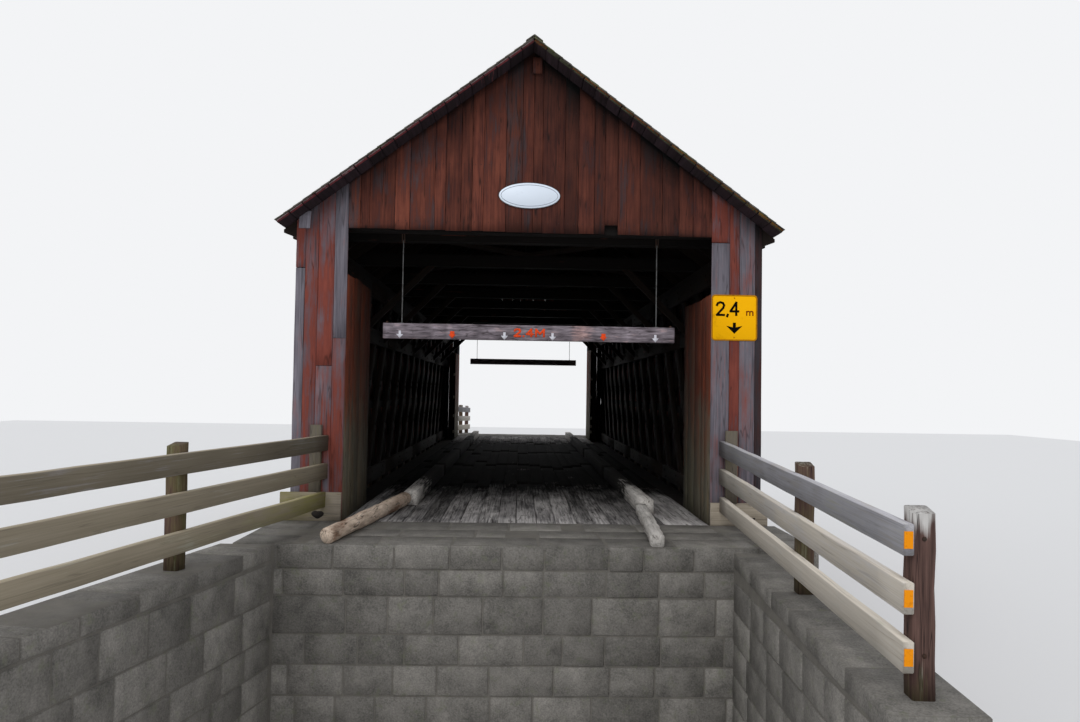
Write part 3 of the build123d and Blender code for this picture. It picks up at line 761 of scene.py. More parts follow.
def rounded_square(half: float, radius: float, steps: int = 8) -> np.ndarray:
    """Square with rounded corners: four quarter circles about points that lie a radius inside the corners.

    Args:
        half: half the square's width.
        radius: radius of the corners.
        steps: points a corner.

    Returns:
        The outline in X and Z, counter-clockwise as seen from the front.
    """
    quarter = np.linspace(0.0, math.pi / 2, steps)
    turn = (quarter + np.arange(4)[:, None] * math.pi / 2).ravel()
    corner = np.sign(np.stack([np.cos(turn), np.sin(turn)], axis=1).reshape(4, steps, 2).mean(axis=1))
    middle = np.repeat(corner * (half - radius), steps, axis=0)
    return middle + radius * np.stack([np.cos(turn), np.sin(turn)], axis=1)


def outward(outline: np.ndarray) -> np.ndarray:
    """Unit normals of a closed outline: the chord between a point's neighbours, turned a right angle."""
    chord = np.roll(outline, -1, axis=0) - np.roll(outline, 1, axis=0)
    return unit(np.stack([chord[:, 1], -chord[:, 0]], axis=1))


def on_face(outline: np.ndarray, centre: Pair, y: float) -> np.ndarray:
    """Puts an outline of X and Z at a centre, on an upright plane."""
    return column(outline[:, 0] + centre[0], y, outline[:, 1] + centre[1])


def plate(
    name: str, outline: np.ndarray, centre: Pair, back: float, front: float, bevel: float = 0.0005,
) -> bpy.types.Object:
    """Flat plate: the outline at the back and near the front, then drawn in by the bevel.

    Args:
        name: the piece's name.
        outline: X and Z of the edge, about its middle.
        centre: X and Z of the middle.
        back: Y of the back.
        front: Y of the front.
        bevel: width and depth of the bevel.

    Returns:
        The new object.
    """
    inner = outline - bevel * outward(outline)
    rings = [
        on_face(outline, centre, back), on_face(outline, centre, front + bevel),
        on_face(inner, centre, front),
    ]
    return skin(name, np.stack(rings)[None])


def border(
    name: str, outline: np.ndarray, centre: Pair, insets: Pair, back: float, front: float,
) -> bpy.types.Object:
    """Raised line that follows an outline, with a rectangular section.

    Args:
        name: the piece's name.
        outline: X and Z of the edge that it follows, about its middle.
        centre: X and Z of the middle.
        insets: how far inside the edge the line starts and stops.
        back: Y of the back.
        front: Y of the front.

    Returns:
        The new object.
    """
    normals = outward(outline)
    outer, inner = outline - insets[0] * normals, outline - insets[1] * normals
    section = [(outer, front), (outer, back), (inner, back), (inner, front)]
    rings = np.stack([on_face(line, centre, y) for line, y in section], axis=1)
    return skin(name, rings[None], looped=True)


# Plain figures as centre lines in a box one high: the width of each, and its runs of corners.
FIGURES: dict[str, tuple[float, tuple[tuple[Pair, ...], ...]]] = {
    "2": (
        0.59,
        (((0, 0.76), (0.08, 0.92), (0.27, 1), (0.48, 0.94), (0.57, 0.77), (0.5, 0.55), (0, 0), (0.59, 0)),),
    ),
    "4": (0.64, (((0.46, 0), (0.46, 1), (0, 0.3), (0.64, 0.3)),)),
    ",": (0.05, (((0.06, 0.04), (0.01, -0.12)),)),
    ".": (0.04, (((0, 0), (0.04, 0)),)),
    "M": (0.8, (((0, 0), (0, 1), (0.4, 0.35), (0.8, 1), (0.8, 0)),)),
    "m": (1, (
        ((0, 0), (0, 1)),
        ((0, 0.72), (0.12, 0.94), (0.3, 1), (0.45, 0.9), (0.5, 0.7), (0.5, 0)),
        ((0.5, 0.72), (0.62, 0.94), (0.8, 1), (0.95, 0.9), (1, 0.7), (1, 0)),
    )),
}

# How far a stroke runs on past its corners, as a share of its width.
OVERRUN = 0.35
# Strokes that cross lie this far apart, so that no two faces share a plane.
HAIR = 0.00005


def figures(
    name: str, body: str, low: Pair, size: Pair, stroke: float, front: float,
    depth: float = 0.002, gap: float = 0.22,
) -> bpy.types.Object:
    """Plain figures on an upright face: a thin flat stroke along each centre line, a little past its ends.

    Args:
        name: the piece's name.
        body: the figures.
        low: X and Z of the lower left corner.
        size: width of the whole and height of a figure.
        stroke: width of a stroke.
        front: Y of the front face.
        depth: thickness of the coat that they are.
        gap: between neighbouring centre lines, as a share of the height.

    Returns:
        The new object.
    """
    feet, heads, place = [], [], 0.0
    for figure in body:
        width, runs = FIGURES[figure]
        for run in runs:
            line = np.array(run, float) + (place, 0.0)
            feet.append(line[:-1])
            heads.append(line[1:])
        place += width + gap
    scale = (np.array(size) - stroke) / (place - gap, 1.0)
    foot, head = (np.concatenate(rows) * scale + low + stroke / 2 for rows in (feet, heads))
    run = unit(head - foot)
    foot, head = foot - OVERRUN * stroke * run, head + OVERRUN * stroke * run
    y = front + depth / 2 - HAIR * np.arange(len(run))
    strokes = Boards(name, 0, chamfer=0.0, wander=0.0, stations=2)
    strokes.lay(
        column(foot[:, 0], y, foot[:, 1]), column(head[:, 0], y, head[:, 1]),
        column(-run[:, 1], 0.0, run[:, 0]), stroke, depth, tone=0.0,
    )
    return strokes.build()


def arrows(
    name: str, centres: Sequence[Pair], size: Pair, front: float,
    shaft: float = 0.34, head: float = 0.55, sweep: float = 0.0, depth: float = 0.002,
) -> bpy.types.Object:
    """Arrows that point down, as thin plates.

    Args:
        name: the piece's name.
        centres: X and Z of the middle of each arrow.
        size: width and height.
        front: Y of the front face.
        shaft: share of the width that the shaft has.
        head: share of the height from the point up to the head's wings.
        sweep: how far the head's back edges fall from the wings to the shaft.
        depth: thickness of the plates.

    Returns:
        The new object.
    """
    wing, stem, top = size[0] / 2, size[0] * shaft / 2, size[1] / 2
    tips = size[1] * head - top
    outline = np.array([
        (0.0, -top), (wing, tips), (stem, tips - sweep), (stem, top), (-stem, top), (-stem, tips - sweep),
        (-wing, tips),
    ])
    plates = [[on_face(outline, centre, y) for y in (front + depth, front)] for centre in centres]
    return skin(name, np.array(plates))


def domes(name: str, centres: np.ndarray, facing: Any, radius: float, height: float) -> bpy.types.Object:
    """Domed bolt heads: the ring at an angle a has radius r cos a and stands h sin a proud of the face.

    Args:
        name: the piece's name.
        centres: middle of each head on its face, one row a head.
        facing: which way the heads look, one row a head or one for all.
        radius: radius of a head.
        height: how far a head stands proud.

    Returns:
        The new object.
    """
    facing = np.broadcast_to(unit(np.asarray(facing, float)), centres.shape)
    helper = np.where(np.abs(facing[:, 2:]) > 0.9, X_AXIS, Z_AXIS)
    side = unit(np.cross(helper, facing))
    other = np.cross(facing, side)
    rise = np.radians([0.0, 35.0, 62.0, 82.0])
    turn = np.linspace(0.0, 2 * math.pi, 10, endpoint=False)
    circle = side[:, None] * np.cos(turn)[:, None] + other[:, None] * np.sin(turn)[:, None]
    rings = centres[:, None, None] + circle[:, None] * (radius * np.cos(rise))[None, :, None, None]
    rings = rings + facing[:, None, None] * (height * np.sin(rise))[None, :, None, None]
    return skin(name, rings)


class Side(Enum):
    """One side of the roadway."""

    LEFT = -1.0
    RIGHT = 1.0

    def pick(self, left: Any, right: Any) -> Any:
        """The one of two values that is this side's."""
        return left if self is Side.LEFT else right


ENDS: dict[str, np.ndarray | None] = {"near": None, "far": HALF_TURN}


@dataclass
class Portal:
    """Boarded faces of both ends: gables, piers, base planks and the linings behind them.

    The far end is the near one turned half round, without the broken board.
    """

    at: Layout
    seam_gap: float = 0.003
    closed_gap: float = 0.0004
    edge: float = 0.005
    # Boards stand in or out of line by up to this much, and their feet differ by up to the next.
    uneven: float = 0.003
    uneven_foot: float = 0.012
    # The gable's seams, from the left.
    seams: Floats = (
        -2.44, -2.287, -2.164, -1.828, -1.627, -1.3, -1.153, -0.947, -0.8, -0.648, -0.349, -0.133, 0.017,
        0.141, 0.444, 0.628, 0.844, 0.987, 1.165, 1.464, 1.763, 1.992, 2.185, 2.44,
    )
    # How much higher the gable's feet are for each metre to the left.
    foot_slope: float = 0.0075
    # The board whose end broke off, with the length that it lost, and the board that lost its paint.
    broken: int = 17
    broken_rise: float = 0.127
    bluish: int = 10
    # Painted shade: how much darker a gable board is at its last stations, up in the shade of the roof.
    head_shades: Floats = (0.1, 0.25, 0.35, 0.5, 0.65, 0.85, 1.3)
    # Each length of board on the piers: left and right seam, foot, head, share of paint, tone.
    pier_boards: tuple[Floats, ...] = (
        (-3.125, -3.0, 2.64, 6.04, 0.05, -0.05),
        (-3.125, -3.0, 6.05, 8.0, 0.82, 0.1),
        (-3.0, -2.827, 2.64, 8.0, 0.75, -0.05),
        (-2.827, -2.613, 2.64, 4.74, 0.72, 0.05),
        (-2.827, -2.613, 4.745, 8.0, 0.8, 0.15),
        (-2.613, -2.44, 2.64, 5.11, 0.78, -0.05),
        (-2.613, -2.44, 5.115, 8.0, 0.1, -0.3),
        (2.44, 2.685, 2.64, 6.48, 0.2, -0.25),
        (2.44, 2.685, 6.49, 8.0, 0.8, -0.2),
        (2.685, 2.82, 2.64, 8.0, 1.0, -0.05),
        (2.82, 3.03, 2.64, 8.0, 0.25, -0.25),
        (3.03, 3.125, 2.64, 8.0, 0.4, -1.7),
    )
    # Ends, as X and Z, and section of the short board nailed over the left pier's head.
    patch_ends: tuple[Pair, ...] = ((-3.02, 6.57), (-3.01, 6.8))
    patch_width: float = 0.15
    patch_depth: float = 0.016
    # Each base plank: left and right end, height, algae along it, tone.
    base_planks: tuple[tuple[float, float, float, Floats, float], ...] = (
        (-3.24, -2.445, 0.375, (0.95, 0.75, 0.3, 0.1), 0.1), (2.44, 3.2, 0.3, (0.05,), 0.75),
    )
    base_depth: float = 0.05
    # Centre, half width and half height of each hole in the base planks of the near end.
    knot_holes: tuple[tuple[Pair, float, float], ...] = (
        ((-2.743, 2.787), 0.08, 0.05), ((2.66, 2.88), 0.022, 0.014), ((3.02, 2.8), 0.018, 0.012),
    )
    hole_proud: float = 0.0006
    hole_depth: float = 0.003
    lining_seams: Floats = (-10.475, -10.1, -9.89, -9.44, -8.96, -8.675)
    lining_gap: float = 0.007
    # Heights of the linings over the deck, on the left and on the right, and how much they differ.
    lining_heights: Pair = (3.3, 3.1)
    uneven_top: float = 0.03

    @property
    def slopes(self) -> list[tuple[Triple, float]]:
        """The two planes under the roof boards."""
        top = self.at.rafter_over(0.0) - self.at.slack
        return [((side.value * self.at.pitch, 0.0, 1.0), top) for side in Side]

    def gables(self) -> None:
        """Upright boards from edge to edge of the opening up to the roof."""
        at = self.at
        left, right = np.array(self.seams[:-1]), np.array(self.seams[1:])
        middle, count = (left + right) / 2, len(left)
        for end, turned in ENDS.items():
            near = end == "near"
            boards = Boards(f"{end}_gable_boards", 11 if near else 12, chamfer=self.edge, stations=17)
            foot = at.gable_low + boards.draw.uniform(0.0, self.uneven_foot, count)
            foot += self.foot_slope * (self.seams[-1] - left)
            foot[self.broken] += self.broken_rise if near else 0.0
            out = -at.portal + at.board / 2 + boards.draw.uniform(0.0, self.uneven, count)
            # The right half is darker: less rain washes it.
            tone = boards.draw.uniform(-0.5, 0.35, count) - 0.75 * np.clip((left + 0.3) / 0.6, 0.0, 1.0)
            tone[self.broken] = tone[self.broken - 1]
            tone[self.bluish] = -0.7
            paint = boards.draw.uniform(0.82, 1.15, count)
            # The outermost board on the left is half bare.
            paint[0] = 0.5
            high = paint.copy()
            high[self.bluish] = 0.4
            stain = boards.draw.uniform(0.0, 0.9, count)
            # Painted shade under the roof, at the boards' heads.
            shades = (tone - shade for shade in self.head_shades)
            boards.lay(
                column(middle, out, foot), column(middle, out, at.ridge), X_AXIS,
                right - left - (self.seam_gap if near else self.closed_gap), at.board - at.slack,
                planes=self.slopes, tone=Fade(tone - 0.2 - stain, tone - 0.6 * stain, *[tone] * 8, *shades),
                paint=Fade(paint, high), turned=turned,
            )
            settle(boards.build(), PAINTED_PINE, [f"{end}_gable"])

    def piers(self) -> None:
        """Upright boards beside the opening, silvery where paint has gone, and a short one on the left."""
        at = self.at
        left, right, foot, head, paint, tone = np.array(self.pier_boards).T
        middle = (left + right) / 2
        for end, turned in ENDS.items():
            boards = Boards(f"{end}_pier_boards", 21 if end == "near" else 22, chamfer=self.edge, stations=8)
            out = -at.portal + at.board / 2 + boards.draw.uniform(0.0, self.uneven, len(left))
            # Painted shade: each board's last station is darker, under the roof.
            boards.lay(
                column(middle, out, foot), column(middle, out, head), X_AXIS, right - left - self.seam_gap,
                at.board - at.slack, planes=self.slopes, tone=Fade(*[tone] * 6, tone - 0.35),
                paint=Fade(*[paint] * 5, 0.8 * paint, 0.6 * paint), turned=turned,
            )
            settle(boards.build(), PIER_PINE, [f"{end}_piers"])
        patch = Boards("pier_patch", 23)
        low, high = (column(x, -at.portal - self.patch_depth / 2, z) for x, z in self.patch_ends)
        patch.lay(low, high, X_AXIS, self.patch_width, self.patch_depth, tone=0.4)
        settle(patch.build(), PIER_PINE)

    def feet(self) -> None:
        """Wide planks across the feet of the piers, and the holes that knots left in them."""
        planks = Boards("pier_base_planks", 31, chamfer=0.006, wander=0.002, stations=6)
        face = -self.at.portal - self.base_depth / 2
        for turned in ENDS.values():
            for left, right, rise, moss, tone in self.base_planks:
                middle = self.at.deck + rise / 2
                planks.lay(
                    (left, face, middle), (right, face, middle), Z_AXIS, rise - self.at.slack,
                    self.base_depth, moss=Fade(*moss), tone=tone, turned=turned,
                )
        settle(planks.build(), FENCE_SPRUCE, ["base_planks"])
        # The holes are dark discs a little proud of the planks: painted shade for holes too deep for the light.
        front = -self.at.portal - self.base_depth - self.hole_proud
        rings = []
        for centre, wide, tall in self.knot_holes:
            outline = ellipse(wide, tall, 24)
            outline = outline * (1 + 0.12 * np.sin(3 * np.arctan2(outline[:, 1], outline[:, 0])))[:, None]
            rings.append(np.stack([on_face(outline, centre, y) for y in (front + self.hole_depth, front)]))
        settle(skin("plank_knot_holes", np.stack(rings)), KNOT_HOLE)

    def linings(self) -> None:
        """Upright boards along both sides of the entrance, red above and green below."""
        at = self.at
        boards = Boards("portal_lining_boards", 41, wander=0.002, stations=10)
        seams = np.array(self.lining_seams)
        middle, width = (seams[1:] + seams[:-1]) / 2, np.diff(seams) - self.lining_gap
        for turned in ENDS.values():
            for side in Side:
                x = side.value * (at.lining + at.board / 2)
                lower = boards.draw.uniform(0.0, self.uneven_top, len(middle))
                top = at.deck + side.pick(*self.lining_heights) - lower
                wet = boards.draw.uniform(0.35, 0.8, len(middle))
                red = boards.draw.uniform(0.6, 1.0, len(middle))
                # Painted shade: the boards further in are darker, as the light fades into the hall.
                tone = boards.draw.uniform(-0.3, 0.3, len(middle)) + np.linspace(0.2, -0.9, len(middle))
                boards.lay(
                    column(x, middle, at.planking + at.slack), column(x, middle, top), Y_AXIS, width,
                    at.board - at.slack, tone=tone, paint=Fade(0.1, 0.35, red, red),
                    moss=Fade(wet, wet * 0.6, 0.0, 0.0), turned=turned,
                )
        settle(boards.build(), LINING_PINE, ["portal_linings"])

    def build(self) -> None:
        """Builds every boarded part of the portals."""
        self.gables()
        self.piers()
        self.feet()
        self.linings()


@dataclass
class Roof:
    """Both slopes: lengthwise boards, split shingles, the ridge cap, and the block under the peak."""

    at: Layout
    rows: int = 20
    row_gap: float = 0.006
    board_length: float = 3.6
    butt: float = 0.002
    # The boards' ends stand back from the edge of the roof by up to this much.
    uneven: float = 0.015
    end_gap: float = 0.018
    end_skin: float = 0.004
    # Middle and thickness of the skins on a board's end, face and upper edge, as shares of its thickness.
    skins: tuple[Pair, ...] = ((0.3, 0.58), (0.78, 0.38))
    courses: int = 28
    shingle_length: float = 0.285
    shingle_depth: float = 0.006
    shingle_width: float = 0.165
    cap_half: float = 0.11
    cap_depth: float = 0.016
    cap_length: float = 3.7

    def spot(self, side: Side, reach: Any, lift: Any, y: Any) -> np.ndarray:
        """Points on a slope.

        Args:
            side: which slope.
            reach: distance down the slope from the line where the rafters' upper faces meet.
            lift: height square to the slope, above the rafters.
            y: place along the bridge.

        Returns:
            One row a point: X is reach cos a + lift sin a, and Z is the line's height, less reach sin a,
            plus lift cos a.
        """
        cos, sin = 1 / self.at.stretch, self.at.sine
        reach, lift = np.asarray(reach, float), np.asarray(lift, float)
        x = side.value * (reach * cos + lift * sin)
        return column(x, y, self.at.rafter_over(0.0) - reach * sin + lift * cos)

    def down(self, side: Side) -> np.ndarray:
        """Unit vector down one slope."""
        return np.array([side.value / self.at.stretch, 0.0, -self.at.sine])

    def board_rows(self, side: Side) -> None:
        """Lengthwise boards in rows, butted at odd places, with their weathered ends.

        Args:
            side: which slope.
        """
        at = self.at
        name = f"roof_boards_{side.name.lower()}"
        boards = Boards(f"{name}_rows", side.pick(51, 52), wander=0.002, nose=0.003)
        ends = Boards(f"{name}_ends", side.pick(53, 54), chamfer=0.002, wander=0.001, stations=2)
        depth = at.roof_board
        low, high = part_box(name)
        out = max(abs(low.x), abs(high.x))
        lowest = (out - depth * at.sine) * at.stretch
        edges = np.linspace(-at.pitch * depth / 2, lowest, self.rows + 1)
        for row, (upper, lower) in enumerate(zip(edges[:-1], edges[1:])):
            seams = split(boards.draw, -high.y, high.y, self.board_length, 0.3)
            start, stop = seams[:-1] + self.butt, seams[1:] - self.butt
            start[0] += boards.draw.uniform(self.butt, self.uneven)
            stop[-1] -= boards.draw.uniform(self.butt, self.uneven)
            middle, pace = (upper + lower) / 2, lower - upper
            # Painted shade: the boards' dark colour, reddened a little at the ends, stands for the shaded
            # underside of the overhang.
            boards.lay(
                self.spot(side, middle, depth / 2, start), self.spot(side, middle, depth / 2, stop),
                self.down(side), pace - self.row_gap, depth - at.slack, paint=Fade(0.3, 0.0, 0.0, 0.3),
            )
            faces = np.array([start[0], stop[-1] + self.end_skin])
            self.end_grain(ends, side, row, middle, pace - self.end_gap, faces)
        settle(boards.build(), ROOF_BOARD, [name])
        settle(ends.build(), side.pick(RED_END, MOSSY_END))

    def end_grain(
        self, ends: Boards, side: Side, row: int, middle: float, width: float, faces: np.ndarray,
    ) -> None:
        """Weathered ends of one row, as two thin skins on the sawn ends: the face, and its upper edge.

        On the left the face kept its red paint and the edge is bleached. On the right the edge is stained
        orange-brown, but green-grey on the second and third row, with moss that thickens towards the eave.

        Args:
            ends: the mesh that they go into.
            side: which slope.
            row: the row's number, from the ridge.
            middle: reach of the row's middle.
            width: width of its boards.
            faces: Y of the outer face at the near end, and of the inner face at the far one.
        """
        share = row / self.rows
        stain, moss = 1.0, 0.0
        if side is Side.RIGHT:
            stain, moss = 0.9 if row == 0 or share > 0.1 else 0.1, 0.7 * max(0.0, share - 0.1)
        # Of the face and of the edge: the tone, and the share of the stain.
        looks = side.pick(((-0.1, 1.0), (0.2, 0.4)), ((-0.9, 0.4), (0.2, 1.0)))
        for (lift, thick), (tone, part) in zip(self.skins, looks):
            lifted = lift * self.at.roof_board
            ends.lay(
                self.spot(side, middle, lifted, faces - self.end_skin),
                self.spot(side, middle, lifted, faces),
                self.down(side), width, thick * self.at.roof_board, moss=part * moss,
                tone=tone + ends.draw.uniform(-0.35, 0.35), paint=part * stain - ends.draw.uniform(0.0, 0.2),
            )

    def shingles(self, side: Side) -> None:
        """Split shingles in courses: each lies on the boards at its head and on the course below at its butt.

        Args:
            side: which slope. The right one has more moss.
        """
        at = self.at
        name = side.name.lower()
        boards = Boards(f"shingles_{name}", side.pick(61, 62), chamfer=0.0, wander=0.0008, stations=2)
        depth, under = self.shingle_depth, at.roof_board
        butt = under + 2.5 * depth
        lowest = (at.eave - at.sine * (under + 3 * depth)) * at.stretch
        for reach in np.linspace(lowest, lowest / self.courses, self.courses):
            seams = split(boards.draw, -at.roof_end, at.roof_end, self.shingle_width, 0.45)
            middle, count = (seams[1:] + seams[:-1]) / 2, len(seams) - 1
            width = np.diff(seams) - boards.draw.uniform(0.002, 0.007, count)
            foot = np.minimum(reach + boards.draw.uniform(-0.012, 0.0, count), lowest)
            head = np.maximum(reach - self.shingle_length, -at.pitch * under)
            boards.lay(
                self.spot(side, foot, butt - boards.draw.uniform(0.0, 0.002, count), middle),
                self.spot(side, head, under + depth / 2, middle), Y_AXIS, width, depth,
                tone=boards.draw.uniform(-0.8, 0.8, count),
                moss=boards.draw.uniform(0.0, 1.0, count) ** 2 * side.pick(0.35, 0.85),
            )
        settle(boards.build(), CEDAR_SHINGLE, [f"shingle_roof_{name}"])

    def ridge(self) -> None:
        """Two boards in lengths over the ridge, and the short block on the gable under the peak."""
        at = self.at
        cap = Boards("ridge_cap_boards", 71, wander=0.002)
        lift = at.roof_board + at.shingle + self.cap_depth / 2
        width = self.cap_half * at.stretch
        middle = width / 2 - at.pitch * lift
        for side in Side:
            seams = split(cap.draw, -at.roof_end, at.roof_end, self.cap_length, 0.15)
            cap.lay(
                self.spot(side, middle, lift, seams[:-1] + self.butt),
                self.spot(side, middle, lift, seams[1:] - self.butt), self.down(side), width,
                self.cap_depth - at.trim, moss=side.pick(0.2, 0.4), tone=-0.7,
            )
        settle(cap.build(), CEDAR_SHINGLE, ["ridge_cap"])
        block = Boards("ridge_block_board", 72, chamfer=0.005)
        low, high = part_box("ridge_block")
        x, y = (low.x + high.x) / 2, (low.y + high.y) / 2
        wide, thick = high.x - low.x, high.y - low.y - at.trim
        # Painted shade: the block is darkened, as it sits in the shade under the peak.
        block.lay((x, y, low.z), (x, y, high.z), X_AXIS, wide, thick, paint=0.7, tone=-1.0)
        settle(block.build(), PAINTED_PINE, ["ridge_block"])

    def build(self) -> None:
        """Builds both slopes and the ridge."""
        for side in Side:
            self.board_rows(side)
            self.shingles(side)
        self.ridge()


@dataclass
class Walls:
    """Long side walls: upright boards up to the rafters' feet, and blocks between the rafters."""

    at: Layout
    board_width: float = 0.24
    seam_gap: float = 0.006
    clear: float = 0.003
    uneven: float = 0.003
    uneven_foot: float = 0.02
    rafter_rise: float = 0.2375
    rafter_pitch: float = 0.8
    rafter_width: float = 0.05
    inner_rafters: int = 26
    end_rafter: float = 10.45

    def build(self) -> None:
        """Lays the boards of both walls."""
        at = self.at
        boards = Boards("side_wall_boards", 81, stations=5)
        low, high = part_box("side_walls")
        paces = (np.arange(self.inner_rafters) - (self.inner_rafters - 1) / 2) * self.rafter_pitch
        rafters = np.concatenate([[-self.end_rafter], paces, [self.end_rafter]])
        under = at.rafter_over(0.0) - self.rafter_rise - self.clear
        for side in Side:
            x = side.value * (at.wall_out - at.board / 2)
            seams = split(boards.draw, low.y, high.y, self.board_width, 0.2)
            middle, count = (seams[1:] + seams[:-1]) / 2, len(seams) - 1
            out = x - side.value * boards.draw.uniform(0.0, self.uneven, count)
            foot = low.z + boards.draw.uniform(0.0, self.uneven_foot, count)
            paint = boards.draw.uniform(0.45, 0.95, count)
            boards.lay(
                column(out, middle, foot), column(out, middle, high.z), Y_AXIS,
                np.diff(seams) - self.seam_gap,
                at.board - at.slack, planes=[((side.value * at.pitch, 0.0, 1.0), under)],
                tone=boards.draw.uniform(-0.5, 0.5, count), paint=Fade(paint * 0.6, paint, paint),
                moss=Fade(boards.draw.uniform(0.3, 0.8, count), 0.0, 0.0, 0.0, 0.0),
            )
            reach = self.rafter_width / 2 + self.clear
            start, stop = rafters[:-1] + reach, rafters[1:] - reach
            bottom = under - at.pitch * abs(x)
            top = at.rafter_over(at.wall_out) - self.clear
            middle = (bottom + top) / 2
            boards.lay(
                column(x, start, middle), column(x, stop, middle), Z_AXIS, top - bottom,
                at.board - 2 * at.slack, paint=0.9, tone=-0.3,
            )
        settle(boards.build(), PIER_PINE, ["side_walls"])


@dataclass
class Truss:
    """Lattice trusses: two layers of crossed planks, pinned with treenails between pairs of chord planks."""

    at: Layout
    bay: float = 1.2
    bays: int = 17
    web_rows: int = 5
    web_width: float = 0.275
    end_post: float = 0.2
    # Web planks are laid this much too long at both ends, and the limits cut them level.
    spare: float = 0.4
    chord_length: float = 5.0
    butt: float = 0.003
    peg: float = 0.042
    # How far the two pegs of a crossing lie from its middle, and stand proud on the inside and outside.
    peg_shift: float = 0.06
    peg_proud: Pair = (0.012, 0.004)

    @property
    def lowest(self) -> float:
        """Height of the lowest row of crossings."""
        return self.at.truss_low + self.web_width / 2

    @property
    def rise(self) -> float:
        """Height from one row of crossings to the next."""
        return (self.at.truss_top - self.at.truss_low - self.web_width) / self.web_rows

    @property
    def chord_rows(self) -> tuple[int, ...]:
        """Numbers of the rows of crossings that chord planks follow."""
        return 0, 1, self.web_rows - 1, self.web_rows

    def webs(self, side: Side) -> None:
        """Slanting planks of one truss, cut level at top and bottom.

        Args:
            side: which truss.
        """
        at = self.at
        name = side.name.lower()
        planks = Boards(f"lattice_planks_{name}", side.pick(91, 92), chamfer=0.004)
        slope = self.rise / (self.bay / 2)
        half, low, top = at.truss_half, at.truss_low, at.truss_top
        limits = [(Y_AXIS, half), (-Y_AXIS, half), (Z_AXIS, top), (-Z_AXIS, -low)]
        for layer, lean in enumerate((1.0, -1.0)):
            x = side.value * (at.hall + at.plank * (layer + 1.5))
            start = (np.arange(-self.web_rows, self.bays + self.web_rows + 1) - self.bays / 2) * self.bay
            start = start - lean * (self.lowest - low) / slope
            stop = start + lean * (top - low) / slope
            inside = (np.minimum(start, stop) <= half) & (np.maximum(start, stop) >= -half)
            run = np.array([0.0, lean, slope])
            foot = column(x, start[inside], low) - self.spare * run
            head = column(x, stop[inside], top) + self.spare * run
            planks.lay(foot, head, (0.0, -slope, lean), self.web_width, at.plank - at.trim, planes=limits)
        settle(planks.build(), FRAME_PINE, [f"lattice_web_{name}"])

    def chords(self) -> None:
        """Chord planks inside and outside of both webs, in lengths butted at different places."""
        planks = Boards("chord_plank_lengths", 93, chamfer=0.004)
        end = self.at.truss_half - self.end_post
        for side in Side:
            for layer in (0.5, 3.5):
                x = side.value * (self.at.hall + self.at.plank * layer)
                for row in self.chord_rows:
                    seams = split(planks.draw, -end, end, self.chord_length, 0.25)
                    z = self.lowest + row * self.rise
                    planks.lay(
                        column(x, seams[:-1] + self.butt, z), column(x, seams[1:] - self.butt, z), Z_AXIS,
                        self.web_width, self.at.plank - self.at.trim,
                    )
        settle(planks.build(), FRAME_PINE, ["chord_planks"])

    def treenails(self) -> None:
        """Two octagonal pegs through each crossing."""
        # The chamfer that turns a square of side s into an octagon is 0.29 s.
        pegs = Boards("treenails", 94, chamfer=self.peg * 0.29, wander=0.0, stations=2)
        for side in Side:
            for row in range(self.web_rows + 1):
                y = (np.arange(self.bays + 1 - row % 2) - self.bays / 2) * self.bay + (row % 2) * self.bay / 2
                chord = row in self.chord_rows
                inner = side.value * (self.at.hall + (0.0 if chord else self.at.plank) - self.peg_proud[0])
                outer = side.value * (self.at.hall + self.at.plank * (4 if chord else 3) + self.peg_proud[1])
                z = self.lowest + row * self.rise
                for shift in (-self.peg_shift, self.peg_shift):
                    pegs.lay(
                        column(inner, y + shift, z + shift), column(outer, y + shift, z + shift), Z_AXIS,
                        self.peg, self.peg, tone=0.5,
                    )
        settle(pegs.build(), FRAME_PINE)

    def build(self) -> None:
        """Builds both trusses."""
        for side in Side:
            self.webs(side)
        self.chords()
        self.treenails()


